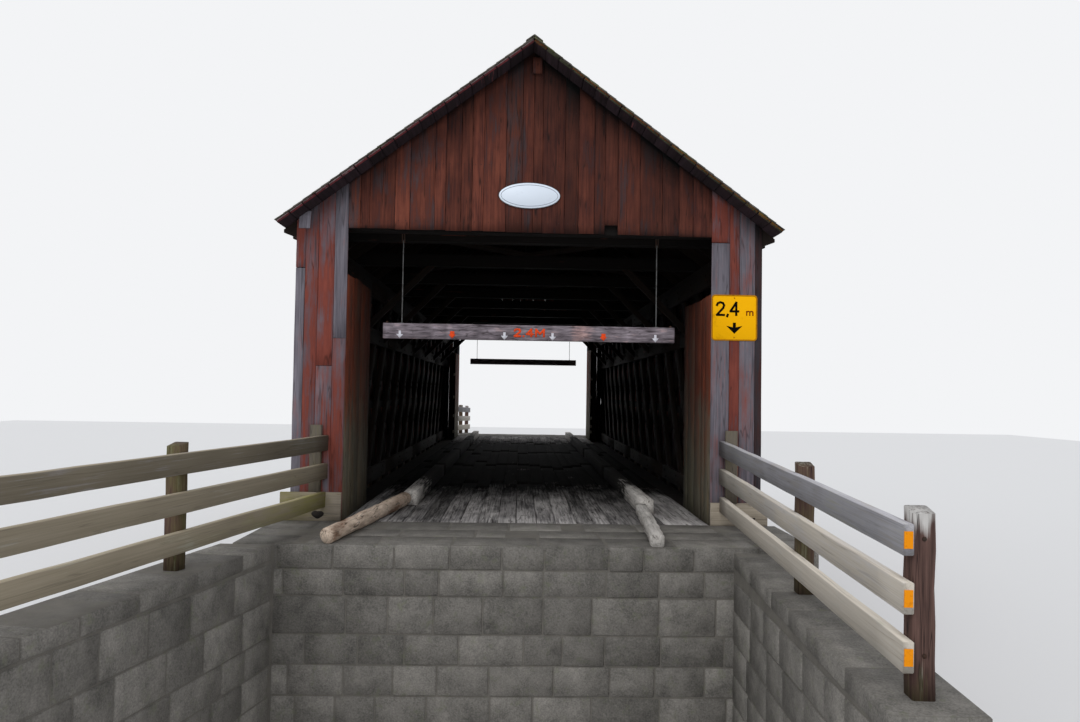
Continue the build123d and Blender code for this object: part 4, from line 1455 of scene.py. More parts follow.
@dataclass
class Deck:
    """Roadway: crosswise planking, running planks, curbs, and the loose kerb pieces outside the portal."""

    at: Layout
    cross_width: float = 0.25
    cross_gap: float = 0.005
    lane_half: float = 1.65
    # How far planks stay clear of the curbs, and how much thinner they are than their solid.
    clear: float = 0.003
    lane_trim: float = 0.003
    filler_trim: float = 0.004
    # How far a plank may lie too low, and start too late.
    sunk: float = 0.006
    late: float = 0.03
    # How far out from the middle the dirt starts, and how dark it is.
    dirt_from: float = 1.2
    dirt: float = 0.5
    lane_planks: int = 13
    strip_planks: int = 3
    plank_length: float = 4.6
    plank_gap: float = 0.008
    butt: float = 0.004
    end_gap: float = 0.01
    curb_width: float = 0.2
    curb_length: float = 4.8
    # How much narrower and lower the curbs are than their solids.
    curb_trim: Pair = (0.006, 0.004)
    # Where the curbs start, on the left and on the right.
    curb_starts: tuple[tuple[Side, float], ...] = ((Side.LEFT, -8.86), (Side.RIGHT, -9.51))
    # Painted shade of the hall: how far out its dark reaches, where planks are fully bleached, and the least
    # that they are.
    dark_to: float = 6.5
    bleached_from: float = 8.6
    darkest: float = -0.6
    # The kerb log: its axis from the portal outwards, rings and corners, and its knots' places and sizes.
    log_ends: tuple[Triple, ...] = ((-1.83, -8.9, 2.793), (-2.25, -12.15, 2.793))
    log_grid: tuple[int, int] = (70, 28)
    log_radius: float = 0.103
    log_taper: float = 0.014
    log_bow: float = 0.012
    log_knots: tuple[Triple, ...] = (
        (0.62, 0.9, 0.012), (1.35, 2.2, 0.01), (2.2, 1.3, 0.013), (2.85, 2.6, 0.01),
    )
    # The rough kerb timber: its axis from the portal outwards, the direction of its width, width and height.
    rough_ends: tuple[Triple, ...] = ((1.66, -9.55, 2.776), (1.47, -12.15, 2.776))
    rough_across: Triple = (1.0, -0.073, 0.0)
    rough_width: float = 0.155
    rough_height: float = 0.146

    def wear_and_hall_shade(self, start: Any, stop: Any, stations: int) -> Fade:
        """How bleached lengthwise pieces are: fully near a portal, and less than nought deep in the hall, where
        their dark bare colour is painted shade.

        Args:
            start: Y of each foot.
            stop: Y of each head.
            stations: how many stations a piece has.

        Returns:
            The share along each piece.
        """
        share = np.linspace(0.0, 1.0, stations)[:, None]
        reach = np.abs(np.asarray(start) + share * (np.asarray(stop) - np.asarray(start)))
        return Fade(*np.clip((reach - self.dark_to) / (self.bleached_from - self.dark_to), self.darkest, 1.0))

    def planking(self) -> None:
        """Crosswise planks over the stringers."""
        at = self.at
        planks = Boards("deck_cross_planks", 101, chamfer=0.004)
        seams = split(planks.draw, -at.truss_half, at.truss_half, self.cross_width, 0.1)
        z = (at.stringer + at.planking) / 2
        middle = (seams[1:] + seams[:-1]) / 2
        planks.lay(
            column(-at.hall, middle, z), column(at.hall, middle, z), Y_AXIS, np.diff(seams) - self.cross_gap,
            at.planking - at.stringer - at.trim,
        )
        settle(planks.build(), FRAME_PINE, ["deck_planking"])

    def running(self) -> None:
        """Lengthwise planks of the lane, and narrower ones between the curbs and the walls."""
        at = self.at
        planks = Boards("running_plank_lengths", 102, chamfer=0.006, wander=0.003, stations=8)
        z = (at.planking + at.deck) / 2
        thick = at.deck - at.planking
        outer = self.lane_half + self.curb_width
        strips = np.linspace(outer + self.clear, at.lining, self.strip_planks + 1)
        edge = self.lane_half - self.clear
        lane = split(planks.draw, -edge, edge, 2 * self.lane_half / self.lane_planks, 0.12)
        # The edges of each band of planks, how bleached they are, and how much lighter.
        for edges, worn, bright in ((lane, 0.8, 0.0), (strips, 1.2, 0.9), (-strips[::-1], 1.2, 0.6)):
            for left, right in zip(edges[:-1], edges[1:]):
                seams = split(planks.draw, -at.portal, at.portal, self.plank_length, 0.25)
                start, stop = seams[:-1] + self.butt, seams[1:] - self.butt
                start[0] += planks.draw.uniform(0.0, self.late)
                count, x = len(start), (left + right) / 2
                level = z - planks.draw.uniform(0.0, self.sunk, count)
                share = planks.draw.uniform(worn - 0.25, worn + 0.35, count)
                # Dirt lies along the curbs.
                dirt = self.dirt if self.dirt_from < abs(x) < self.lane_half else 0.0
                # Bleached near the portals; deep in the hall, painted shade.
                wear_and_shade = Fade(*(mark * share for mark in self.wear_and_hall_shade(start, stop, planks.stations).marks))
                planks.lay(
                    column(x, start, level), column(x, stop, level), X_AXIS, right - left - self.plank_gap,
                    thick - self.lane_trim, tone=planks.draw.uniform(-0.7, 0.7, count) + bright - dirt,
                    paint=wear_and_shade,
                )
        # Short planks fill the lines of the curbs out to the portals.
        for side, start in self.curb_starts:
            x = side.value * (self.lane_half + self.curb_width / 2)
            feet = (self.end_gap - at.portal, self.end_gap + at.truss_half)
            heads = (start - self.end_gap / 2, at.portal - self.end_gap)
            level = z - self.filler_trim / 2
            planks.lay(
                column(x, feet, level), column(x, heads, level), X_AXIS, self.curb_width - self.plank_gap,
                thick - self.filler_trim, tone=-0.3, paint=0.8,
            )
        settle(planks.build(), DECK_PLANK, ["running_planks"])

    def curbs(self) -> None:
        """Sawn curbs beside the lane, in lengths, with worn edges."""
        curbs = Boards("curb_lengths", 103, chamfer=0.008, wander=0.0015, stations=10)
        low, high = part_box("curb_timbers")
        rise = high.z - low.z
        z = low.z + rise / 2
        narrower, lower = self.curb_trim
        for side, start in self.curb_starts:
            seams = split(curbs.draw, start, high.y, self.curb_length, 0.2)
            x = side.value * (self.lane_half + self.curb_width / 2)
            # Bleached near the portals, and painted shade deep in the hall.
            curbs.lay(
                column(x, seams[:-1] + self.butt, z), column(x, seams[1:] - self.butt, z), X_AXIS,
                self.curb_width - narrower, rise - lower, tone=0.6,
                paint=self.wear_and_hall_shade(seams[:-1], seams[1:], curbs.stations),
            )
        settle(curbs.build(), CURB_TIMBER, ["curb_timbers"])

    def log(self) -> None:
        """Peeled log: rings whose radius tapers and swells by waves and knots, flattened where it lies."""
        start, stop = np.array(self.log_ends)
        rings, corners = self.log_grid
        share = np.linspace(0.0, 1.0, rings)[:, None]
        turn = np.linspace(0.0, 2 * math.pi, corners, endpoint=False)[None]
        ahead = unit(stop - start)
        side = unit(np.cross(Z_AXIS, ahead))
        along = share * np.linalg.norm(stop - start) * np.ones_like(turn)
        radius = self.log_radius - self.log_taper * share
        radius = radius + 0.0035 * np.sin(5.1 * along + 2 * turn)
        radius = radius + 0.0025 * np.sin(13.0 * along + 3 * turn + 1.0)
        for place, angle, size in self.log_knots:
            away = ((along - place) / 0.055) ** 2 + (1 - np.cos(turn - angle)) / 0.09
            radius = radius + size * np.exp(-away)
        sideways = radius * np.cos(turn) + self.log_bow * np.sin(math.pi * share)
        points = start + ahead * along[..., None] + side * sideways[..., None]
        points = points + Z_AXIS * (radius * np.sin(turn))[..., None]
        points[..., 2] = np.maximum(points[..., 2], self.at.deck + 0.0025)
        made = skin("kerb_log_peeled", points[None])
        around = (0.1 * np.broadcast_to(wave(turn), along.shape) for wave in (np.cos, np.sin))
        grain = np.stack([along, *around], axis=-1)
        bark = np.clip(np.sin(2.3 * along + turn) * 0.5 + 0.1, 0.0, 1.0)
        state = np.stack([0.9 + 0.25 * np.sin(3.0 * along), bark, np.full_like(along, 0.05)], axis=-1)
        mark_points(made, "grain", grain)
        mark_points(made, "state", state)
        settle(made, PEELED_LOG, ["kerb_log"])

    def rough(self) -> None:
        """Roughly squared kerb timber, which lies opposite the log."""
        squared = Boards("kerb_timber_rough", 104, chamfer=0.02, wander=0.006, stations=18)
        squared.lay(
            *self.rough_ends, self.rough_across, self.rough_width, self.rough_height, tone=0.1, paint=0.9,
        )
        settle(squared.build(), CURB_TIMBER, ["kerb_timber"])

    def build(self) -> None:
        """Builds the roadway."""
        self.planking()
        self.running()
        self.curbs()
        self.log()
        self.rough()


@dataclass(frozen=True)
class FenceLine:
    """One approach fence: its start on the portal face, how it flares and falls, and its posts' places."""

    side: Side
    x: float
    flare: float
    fall: float
    posts: Floats
    # Height over the deck where its cleat starts.
    base: float
    # Paint that shows as silver on each rail, and the tone of each rail from the portal outwards.
    silver: Floats
    tones: tuple[Floats, ...]
    # Frost on the top, algae and tone of each post.
    looks: tuple[Triple, ...]

    def spot(self, u: Any, v: Any, w: Any, at: Layout) -> np.ndarray:
        """Points beside the fence.

        Args:
            u: distance along the rails from the portal's face.
            v: distance outwards across them.
            w: height over the deck.
            at: places of the bridge.

        Returns:
            One row a point.
        """
        start = np.array([self.x, -at.portal, at.deck])
        u, v, w = (np.asarray(value, float)[..., None] for value in (u, v, w))
        return start + u * self.ahead + v * self.out + w * Z_AXIS

    @property
    def ahead(self) -> np.ndarray:
        """Unit vector along the fence, away from the portal."""
        turn = math.radians(-90 + self.side.value * self.flare)
        return np.array([math.cos(turn), math.sin(turn), 0.0])

    @property
    def out(self) -> np.ndarray:
        """Unit vector across the fence, away from the roadway."""
        return self.side.value * np.cross(Z_AXIS, self.ahead)


FENCES = (
    FenceLine(
        Side.LEFT, -2.633, 11.9, 0.036 / 5.78, (3.07, 5.78), 0.375, (0.15, 0.0, 0.0),
        ((-0.8, -0.5, -0.1, 0.0), (0.4, 0.8, 0.9, 1.0), (1.4, 1.0, 1.2, 1.5)),
        ((0.0, 0.55, 0.1), (0.0, 0.55, 0.1)),
    ),
    FenceLine(
        Side.RIGHT, 2.556, -2.2, 0.18 / 5.78, (3.3, 5.78), 0.3, (0.85, 0.2, 0.0),
        ((-0.7, -0.2, 0.0, -0.1), (-0.1, 0.8, 1.2, 1.1), (0.6, 1.0, 1.1, 0.6)),
        ((0.3, 0.5, -0.2), (0.8, 0.0, -0.2)),
    ),
)


@dataclass
class Fences:
    """Rail fences of the four approaches: rails, posts, cleats, bolts."""

    at: Layout
    rail_depth: float = 0.076
    rail_height: float = 0.203
    rail_pitch: float = 0.37
    top_rail: float = 1.125
    # Rails are laid this much too long towards the portal, whose face cuts them off, just clear of it.
    spare: float = 0.3
    clear: float = 0.001
    run: float = 5.88
    post: float = 0.15
    post_top: float = 1.22
    post_slant: float = 0.25
    base_plank: float = 0.05
    # A cleat's place along the rails and behind them, its head over the deck, its width and thickness.
    cleat_at: float = 0.05
    cleat_back: float = 0.08
    cleat_top: float = 1.26
    cleat_width: float = 0.158
    cleat_depth: float = 0.05
    bolt_radius: float = 0.016
    bolt_height: float = 0.008

    def levels(self) -> np.ndarray:
        """Heights of the rails' middles above the deck, where the fence starts."""
        return self.top_rail - self.rail_height / 2 - np.arange(3) * self.rail_pitch

    def rails(self, boards: Boards, fence: FenceLine, turned: np.ndarray | None) -> None:
        """Three rails, with pale upper edges, partly bleached and partly painted light from above, and faces
        that rain has stained.

        Args:
            boards: the mesh that they go into.
            fence: the fence. Its lowest rail starts at the base plank, and the others at the portal's face.
            turned: a matrix that carries them to another place.
        """
        at = self.at
        middle = self.rail_depth / 2
        marks = np.linspace(0.0, 1.0, boards.stations)
        for k, level in enumerate(self.levels()):
            stop = at.portal + (self.base_plank if k == 2 else 0.0) + self.clear
            foot = fence.spot(-self.spare, middle, level + self.spare * fence.fall, at)
            head = fence.spot(self.run, middle, level - self.run * fence.fall, at)
            along = unit(head - foot)
            up = np.cross(np.cross(along, Z_AXIS), along)
            moss = Fade(0.85, 0.3, 0.15, 0.2) if (k, fence.side) == (2, Side.LEFT) else Fade(0.3, 0.1, 0.15)
            tone = np.interp(marks, np.linspace(0.0, 1.0, len(fence.tones[k])), fence.tones[k])
            # The crown lightens the rails' tops: partly bleaching, and partly painted light from above.
            boards.lay(
                foot, head, up, self.rail_height - at.slack, self.rail_depth - at.slack,
                planes=[(Y_AXIS, -stop)], moss=moss, paint=fence.silver[k], crown=2.0, turned=turned,
                tone=Fade(*(tone + boards.draw.normal(0.0, 0.12, len(marks)))),
            )

    def uprights(self, posts: Boards, fence: FenceLine, turned: np.ndarray | None) -> None:
        """Posts behind the rails, cut off at a slant that sheds rain.

        Args:
            posts: the mesh that they go into.
            fence: the fence.
            turned: a matrix that carries them to another place.
        """
        back = self.rail_depth + self.post / 2
        slant = Z_AXIS + self.post_slant * fence.ahead
        for u, (frost, green, tone) in zip(fence.posts, fence.looks):
            top = self.post_top - fence.fall * u
            cut = (slant, slant @ fence.spot(u - self.post / 2, back, top, self.at))
            posts.lay(
                fence.spot(u, back, -fence.fall * (u + 0.1), self.at), fence.spot(u, back, top, self.at),
                fence.out,
                self.post, self.post - self.at.slack, planes=[cut], tone=Fade(tone - 0.3, tone, tone),
                moss=Fade(0.5, green, green, green, green), paint=Fade(0.0, 0.0, 0.0, 0.0, 0.0, frost),
                turned=turned,
            )

    def build(self) -> None:
        """Lays the same two fences at both ends."""
        rails = {
            side: Boards(
                f"fence_rail_planks_{side.name.lower()}", seed, chamfer=0.007, wander=0.0015, stations=14,
            )
            for side, seed in ((Side.LEFT, 111), (Side.RIGHT, 114))
        }
        posts = Boards("fence_post_timbers", 112, chamfer=0.012, wander=0.003, stations=6)
        cleats = Boards("rail_cleat_boards", 113, chamfer=0.006)
        bolts, facing = [], []
        for turned in ENDS.values():
            turn = np.eye(3) if turned is None else turned
            for fence in FENCES:
                self.rails(rails[fence.side], fence, turned)
                self.uprights(posts, fence, turned)
                back = self.rail_depth + self.post / 2
                for u in fence.posts:
                    for level in self.levels()[[0, 2]]:
                        bolts.append(
                            turn @ fence.spot(u + self.post / 2, back, level - fence.fall * u, self.at),
                        )
                        facing.append(turn @ fence.ahead)
                behind = self.rail_depth + self.cleat_back
                ends = (fence.spot(self.cleat_at, behind, w, self.at) for w in (fence.base, self.cleat_top))
                cleats.lay(
                    *ends, fence.out, self.cleat_width, self.cleat_depth, moss=0.35, tone=-1.25,
                    turned=turned,
                )
        settle(rails[Side.LEFT].build(), RAIL_SPRUCE, ["fence_rails"])
        settle(rails[Side.RIGHT].build(), RAIL_SILVER)
        settle(posts.build(), POST_TIMBER, ["fence_posts"])
        settle(cleats.build(), FENCE_SPRUCE, ["rail_cleats"])
        heads = domes("fence_bolts", np.array(bolts), np.array(facing), self.bolt_radius, self.bolt_height)
        settle(heads, RUSTED_STEEL)


@dataclass
class Masonry:
    """Abutments and wing walls: split granite in courses, a little proud of a core of mortar and rubble."""

    at: Layout
    joint: float = 0.014
    proud: float = 0.012
    depth: float = 0.06
    course: float = 0.34
    length: float = 0.62
    half: float = 3.3
    foot: float = 8.85
    front: float = 9.1
    back_face: float = 10.52
    floor_seat: float = 2.125
    truss_seat: float = 1.7
    pocket: float = 2.65
    # Rows and lengths of the flags on top, and how far they stand over the mortar.
    flag_row: float = 0.55
    flag_length: float = 0.8
    flag_rise: float = 0.002
    wing_thick: float = 0.6
    wing_reach: float = 6.08
    wing_middle: float = 0.151
    # Distance from the abutment's back to the wing walls' first stones.
    wing_start: float = 0.06
    coping: float = 0.16
    coping_length: float = 0.75

    def levels(self, draw: np.random.Generator) -> np.ndarray:
        """Heights of the bed joints, which meet the seats.

        Args:
            draw: the seeded generator.

        Returns:
            The heights, from the ground up.
        """
        lower = split(draw, 0.0, self.truss_seat, self.course, 0.2)
        upper = split(draw, self.floor_seat, self.at.deck, self.course, 0.1)
        return np.concatenate([lower, upper])

    def face(
        self, stones: Boards, origin: Any, along: Any, up: Any, run: Any, levels: np.ndarray, corners: bool,
        turned: np.ndarray | None = None,
    ) -> None:
        """Courses of stones on one face.

        Args:
            stones: the mesh that they go into.
            origin: lower left corner of the face.
            along: unit vector along the courses.
            up: unit vector up the face.
            run: length of the face, or one length a course.
            levels: the bed joints, as distances up the face.
            corners: whether the first course is the one that reaches round the corners.
            turned: a matrix that carries the stones to another place.
        """
        origin, along, up = np.asarray(origin, float), np.asarray(along, float), np.asarray(up, float)
        out = unit(np.cross(along, up))
        centre = origin + out * (self.proud - self.depth / 2)
        runs = np.broadcast_to(np.asarray(run, float), (len(levels) - 1,))
        for k, (low, high) in enumerate(zip(levels[:-1], levels[1:])):
            reach = self.proud if (k % 2 == 0) == corners else -self.joint / 2
            seams = split(stones.draw, -reach, runs[k] + reach, self.length, 0.35)
            start, stop = seams[:-1] + self.joint / 2, seams[1:] - self.joint / 2
            start[0], stop[-1] = seams[0], seams[-1]
            bulge = out * stones.draw.uniform(-0.004, 0.004, len(start))[:, None]
            rise = centre + up * (low + high) / 2
            stones.lay(
                rise + along * start[:, None] + bulge, rise + along * stop[:, None] + bulge, up,
                high - low - self.joint, self.depth, turned=turned,
            )

    def abutment(self, end: str, turned: np.ndarray | None) -> None:
        """Stones on the front, the sides and the back of one abutment, and slabs on top.

        Args:
            end: the end's name.
            turned: the matrix that carries the near end there.
        """
        at = self.at
        stones = Boards(
            f"abutment_stones_{end}", 121 if end == "near" else 122, chamfer=0.012, wander=0.002, nose=0.012,
        )
        levels = self.levels(stones.draw)
        lean = unit(np.array([0.0, self.foot - self.front, at.deck]))
        tilt = 1 / lean[2]
        low = levels[levels <= self.truss_seat + TINY]
        over = levels[levels >= self.truss_seat - TINY]
        middle = over[over <= self.floor_seat + TINY]
        batter = (self.foot - self.front) / at.deck
        back, foot = -at.abutment_back, -self.foot
        under = at.abutment_back - self.foot + batter * (low[1:] + low[:-1]) / 2
        block = at.abutment_back - self.back_face
        corners = len(low) % 2 == 0
        # The front faces the other abutment, towards +Y at the near end, so its courses run towards -X.
        # The sides start at the back on the right, and at the front on the left.
        faces = [
            ((self.half, foot, 0), -X_AXIS, lean, 2 * self.half, low * tilt, True),
            ((self.pocket, foot, 0), -X_AXIS, lean, 2 * self.pocket, middle * tilt, False),
            ((-self.half, back, 0), X_AXIS, Z_AXIS, 2 * self.half, levels, True),
            ((self.half, back, 0), Y_AXIS, Z_AXIS, under, low, False),
            ((self.half, back, 0), Y_AXIS, Z_AXIS, block, over, corners),
        ]
        for k, run in enumerate(under):
            faces.append(((-self.half, back + run, 0), -Y_AXIS, Z_AXIS, run, low[k:k + 2], k % 2 == 1))
        faces.append(((-self.half, -self.back_face, 0), -Y_AXIS, Z_AXIS, block, over, corners))
        for place in faces:
            self.face(stones, *place, turned)
        edges = split(stones.draw, self.back_face, at.abutment_back + self.proud, self.flag_row, 0.15)
        z = at.deck + self.flag_rise - self.depth / 2
        for near, far in zip(edges[:-1], edges[1:]):
            seams = split(stones.draw, -self.half - self.proud, self.half + self.proud, self.flag_length, 0.3)
            y = -(near + far) / 2
            stones.lay(
                column(seams[:-1] + self.joint / 2, y, z), column(seams[1:] - self.joint / 2, y, z), Y_AXIS,
                far - near - self.joint, self.depth, turned=turned,
            )
        settle(stones.build(), GRANITE)

    def wings(self) -> None:
        """Stones on both faces and on the end of each wing wall, under coping stones that follow its top."""
        at = self.at
        stones = Boards("wing_wall_stones", 123, chamfer=0.012, wander=0.002, nose=0.012)
        reach, lift = self.wing_reach, self.flag_rise - self.coping / 2
        inner, outer = self.wing_middle - self.wing_thick / 2, self.wing_middle + self.wing_thick / 2
        for turned in ENDS.values():
            for fence in FENCES:
                first = (at.abutment_back - at.portal) / abs(fence.ahead[1]) + self.wing_start
                low = at.deck - fence.fall * reach - self.coping - self.joint / 2
                levels = split(stones.draw, 0.0, low, self.course, 0.15)
                seams = split(stones.draw, first, reach + self.proud, self.coping_length, 0.3)
                ends = (
                    fence.spot(u, self.wing_middle, lift - fence.fall * u, at)
                    for u in (seams[:-1] + self.joint / 2, seams[1:] - self.joint / 2)
                )
                stones.lay(*ends, fence.out, self.wing_thick + 2 * self.proud, self.coping, turned=turned)
                for v, flip in ((outer, fence.side is Side.RIGHT), (inner, fence.side is Side.LEFT)):
                    near, far = (fence.spot(u, v, -at.deck, at) for u in (first, reach))
                    origin, along = (far, -fence.ahead) if flip else (near, fence.ahead)
                    self.face(stones, origin, along, Z_AXIS, reach - first, levels, flip, turned)
                edge, across = fence.side.pick((outer, -fence.out), (inner, fence.out))
                origin = fence.spot(reach, edge, -at.deck, at)
                self.face(stones, origin, across, Z_AXIS, self.wing_thick, levels, False, turned)
        settle(stones.build(), GRANITE)

    def build(self) -> None:
        """Builds the stonework of both ends."""
        for end, turned in ENDS.items():
            self.abutment(end, turned)
        self.wings()


@dataclass
class ClearanceBar:
    """Hanging bar of one portal with its marks: arrows, a sprayed figure, and an old smear of paint."""

    end: str
    marked: bool
    # Middle and half width of the smear, and of the pale stretch.
    smears: tuple[Pair, ...] = ((0.72, 0.16), (1.32, 0.2))
    # Places of the arrows along the bar, with their drop below its middle and their size, and place, size
    # and stroke of the figure.
    white_arrows: Floats = (-1.77, -0.34, 0.32, 1.737)
    white_drop: float = 0.05
    white_size: Pair = (0.096, 0.105)
    orange_arrows: Floats = (-1.055, 1.02)
    orange_drop: float = 0.045
    orange_size: Pair = (0.1, 0.1)
    figure_at: Pair = (-0.215, -0.062)
    figure_size: Pair = (0.43, 0.124)
    figure_stroke: float = 0.028
    # The coat's thickness, how much of it stands proud, and how much thinner the plank is than its solid.
    coat: float = 0.0035
    proud: float = 0.0015
    trim: float = 0.001
    # Where the rods' eyes are, and radius and height of the bolts under them.
    eye: float = 1.95
    bolt: Pair = (0.022, 0.03)

    @property
    def body(self) -> str:
        """The body that it swings with."""
        return f"{self.end}_swing_bar"

    def build(self) -> None:
        """Builds the plank and what is on it."""
        low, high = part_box(f"{self.end}_bar")
        plank = Boards(
            f"{self.end}_bar_plank", 131 if self.marked else 132, chamfer=0.005, wander=0.0003, stations=81,
        )
        y, z = (low.y + high.y) / 2, (low.z + high.z) / 2
        x = np.linspace(low.x, high.x, plank.stations)
        smear, pale = (np.exp(-(np.abs(x - middle) / half) ** 4) for middle, half in self.smears)
        cloud = plank.draw.normal(0.0, 0.25, plank.stations)
        paint, tone = (Fade(*(smear * 0.5)), Fade(*(cloud + 0.5 * pale))) if self.marked else (0.0, 0.0)
        size = high - low
        plank.lay((low.x, y, z), (high.x, y, z), Z_AXIS, size.z, size.y - self.trim, tone=tone, paint=paint)
        settle(plank.build(), BAR_PLANK, [f"{self.end}_bar"], self.body)
        if self.marked:
            self.marks(low.y - self.proud, z, np.array([(x, y, high.z) for x in (-self.eye, self.eye)]))

    def marks(self, front: float, z: float, eyes: np.ndarray) -> None:
        """Marks on the front, and a bolt under each rod.

        Args:
            front: Y of the marks' front faces.
            z: height of the bar's middle.
            eyes: middle of the bar's upper face below each rod.
        """
        white = [(x, z - self.white_drop) for x in self.white_arrows]
        orange = [(x, z - self.orange_drop) for x in self.orange_arrows]
        coat, low = self.coat, (self.figure_at[0], z + self.figure_at[1])
        for mark, finish in (
            (arrows("bar_arrows_white", white, self.white_size, front, depth=coat), STENCIL_WHITE),
            (arrows("bar_arrows_orange", orange, self.orange_size, front, 0.6, depth=coat), SPRAY_ORANGE),
            (
                figures("bar_figure", "2.4M", low, self.figure_size, self.figure_stroke, front, coat, 0.3),
                SPRAY_ORANGE,
            ),
        ):
            settle(mark, finish, body=self.body)
        bolts = domes("bar_end_bolts", eyes, Z_AXIS, *self.bolt)
        settle(bolts, RUSTED_STEEL, body=self.body)


@dataclass
class Signs:
    """Bare oval name board, and the square clearance sign with plain figures and an arrow.

    A mark's place is X and Z from the middle of the sign, and its size is its width and height.
    """

    bevel: float = 0.003
    line: Pair = (0.03, 0.036)
    line_proud: float = 0.0008
    edge: Pair = (0.0, 0.006)
    edge_sunk: float = 0.004
    corner: float = 0.05
    rolled: Pair = (0.0, 0.02)
    rolled_sunk: float = 0.001
    rim_proud: float = 0.0006
    mark_proud: float = 0.001
    figures_at: Pair = (-0.253, 0.021)
    figures_size: Pair = (0.323, 0.2)
    figures_stroke: float = 0.03
    unit_at: Pair = (0.158, 0.028)
    unit_size: Pair = (0.1, 0.07)
    unit_stroke: float = 0.016
    arrow_drop: float = 0.14
    arrow_size: Pair = (0.219, 0.15)
    # How far the bolts are from the middle, and their radius and height.
    bolt_reach: float = 0.265
    bolt: Pair = (0.01, 0.006)

    def oval(self) -> None:
        """White enamelled oval with a blue-grey line near its edge."""
        low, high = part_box("oval_sign")
        centre = ((low.x + high.x) / 2, (low.z + high.z) / 2)
        outline = ellipse((high.x - low.x) / 2, (high.z - low.z) / 2)
        board = plate("oval_sign_board", outline, centre, high.y, low.y, self.bevel)
        settle(board, WHITE_ENAMEL, ["oval_sign"])
        line = border("oval_sign_line", outline, centre, self.line, low.y, low.y - self.line_proud)
        settle(line, BLUE_ENAMEL)
        back, front = low.y + self.edge_sunk, low.y - self.rim_proud
        rim = border("oval_sign_rim", outline, centre, self.edge, back, front)
        settle(rim, DARK_ENAMEL)

    def clearance(self) -> None:
        """Yellow sheet with figures and an arrow, held by two bolts."""
        low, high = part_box("clearance_sign")
        x, z = (low.x + high.x) / 2, (low.z + high.z) / 2
        back, front = high.y, low.y
        outline = rounded_square((high.x - low.x) / 2, self.corner)
        sheet = plate("clearance_sheet", outline, (x, z), back, front)
        settle(sheet, SIGN_YELLOW, ["clearance_sign"])
        sunk, proud = front + self.rolled_sunk, front - self.rim_proud
        rim = border("clearance_rim", outline, (x, z), self.rolled, sunk, proud)
        settle(rim, SIGN_OCHRE)
        face = front - self.mark_proud
        for name, body, place, size, stroke, finish in (
            ("clearance_figures", "2,4", self.figures_at, self.figures_size, self.figures_stroke, SIGN_BLACK),
            ("clearance_unit", "m", self.unit_at, self.unit_size, self.unit_stroke, SIGN_BROWN),
        ):
            mark = figures(name, body, (x + place[0], z + place[1]), size, stroke, face)
            settle(mark, finish)
        middle = [(x, z - self.arrow_drop)]
        arrow = arrows("clearance_arrow", middle, self.arrow_size, face, shaft=0.19, head=0.71, sweep=0.02)
        settle(arrow, SIGN_BLACK)
        bolts = column(x, front, z + np.array([-self.bolt_reach, self.bolt_reach]))
        settle(domes("clearance_bolts", bolts, -Y_AXIS, *self.bolt), SIGN_OCHRE)

    def build(self) -> None:
        """Builds both signs."""
        self.oval()
        self.clearance()


@dataclass
class Nails:
    """Nail heads of the gables' boards: two a board at each nailer, rusted dark."""

    at: Layout
    heights: Floats = (6.7, 7.48, 8.2)
    clear: float = 0.05
    radius: float = 0.006
    height: float = 0.003

    def build(self) -> None:
        """Puts the heads on both gables, where the boards reach so high."""
        seams = np.array(Portal(self.at).seams)
        middles, halves = (seams[1:] + seams[:-1]) / 2, np.diff(seams) / 2
        spots = []
        for z in self.heights:
            for share in (-0.5, 0.5):
                x = middles + halves * share
                under = z < self.at.rafter_over(x) - self.clear
                spots.append(column(x[under], -self.at.portal, z))
        points = np.concatenate(spots)
        points = np.concatenate([points, points @ HALF_TURN.T])
        facing = np.where(points[:, 1:2] < 0, -Y_AXIS, Y_AXIS)
        settle(domes("gable_nails", points, facing, self.radius, self.height), RUST_NAIL)


@dataclass
class Carried:
    """Finishes for the nodes that stay as they are."""

    nodes: dict[str, bpy.types.Object]
    timber: tuple[tuple[Timber, Grain, tuple[str, ...]], ...] = (
        (FRAME_PINE, Grain.ALONG_X, ("floor_beams", "lower_bracing", "upper_bracing", "gable_frames")),
        (
            FRAME_PINE, Grain.ALONG_Y,
            ("bolster_timbers", "floor_stringers", "wall_plates", "ridge_board", "wall_nailers"),
        ),
        (FRAME_PINE, Grain.ALONG_Z, ("end_posts", "portal_posts")),
        (FRAME_PINE, Grain.UP_KNEE, ("knee_braces",)),
        (FRAME_PINE, Grain.DOWN_ROOF, ("rafters",)),
        (TIE_PINE, Grain.ALONG_X, ("tie_beams",)),
        (STRIP_PINE, Grain.ALONG_Y, ("lining_strips",)),
    )
    other: tuple[tuple[Stone | Coating, tuple[str, ...]], ...] = (
        (MORTAR, ("abutment_near", "abutment_far", "wing_walls")),
        (RUSTED_STEEL, ("hanger_brackets",)),
        (ZINC_ROD, ("near_hangers", "far_hangers")),
        (AMBER_PLASTIC, ("reflectors",)),
    )

    def build(self) -> None:
        """Assigns a finish to each node."""
        made = [(finish.material(grain), names) for finish, grain, names in self.timber]
        made += [(finish.material(), names) for finish, names in self.other]
        for material, names in made:
            for name in names:
                self.nodes[name].data.materials.clear()
                self.nodes[name].data.materials.append(material)
                log.info("%s: %s", name, material.name)


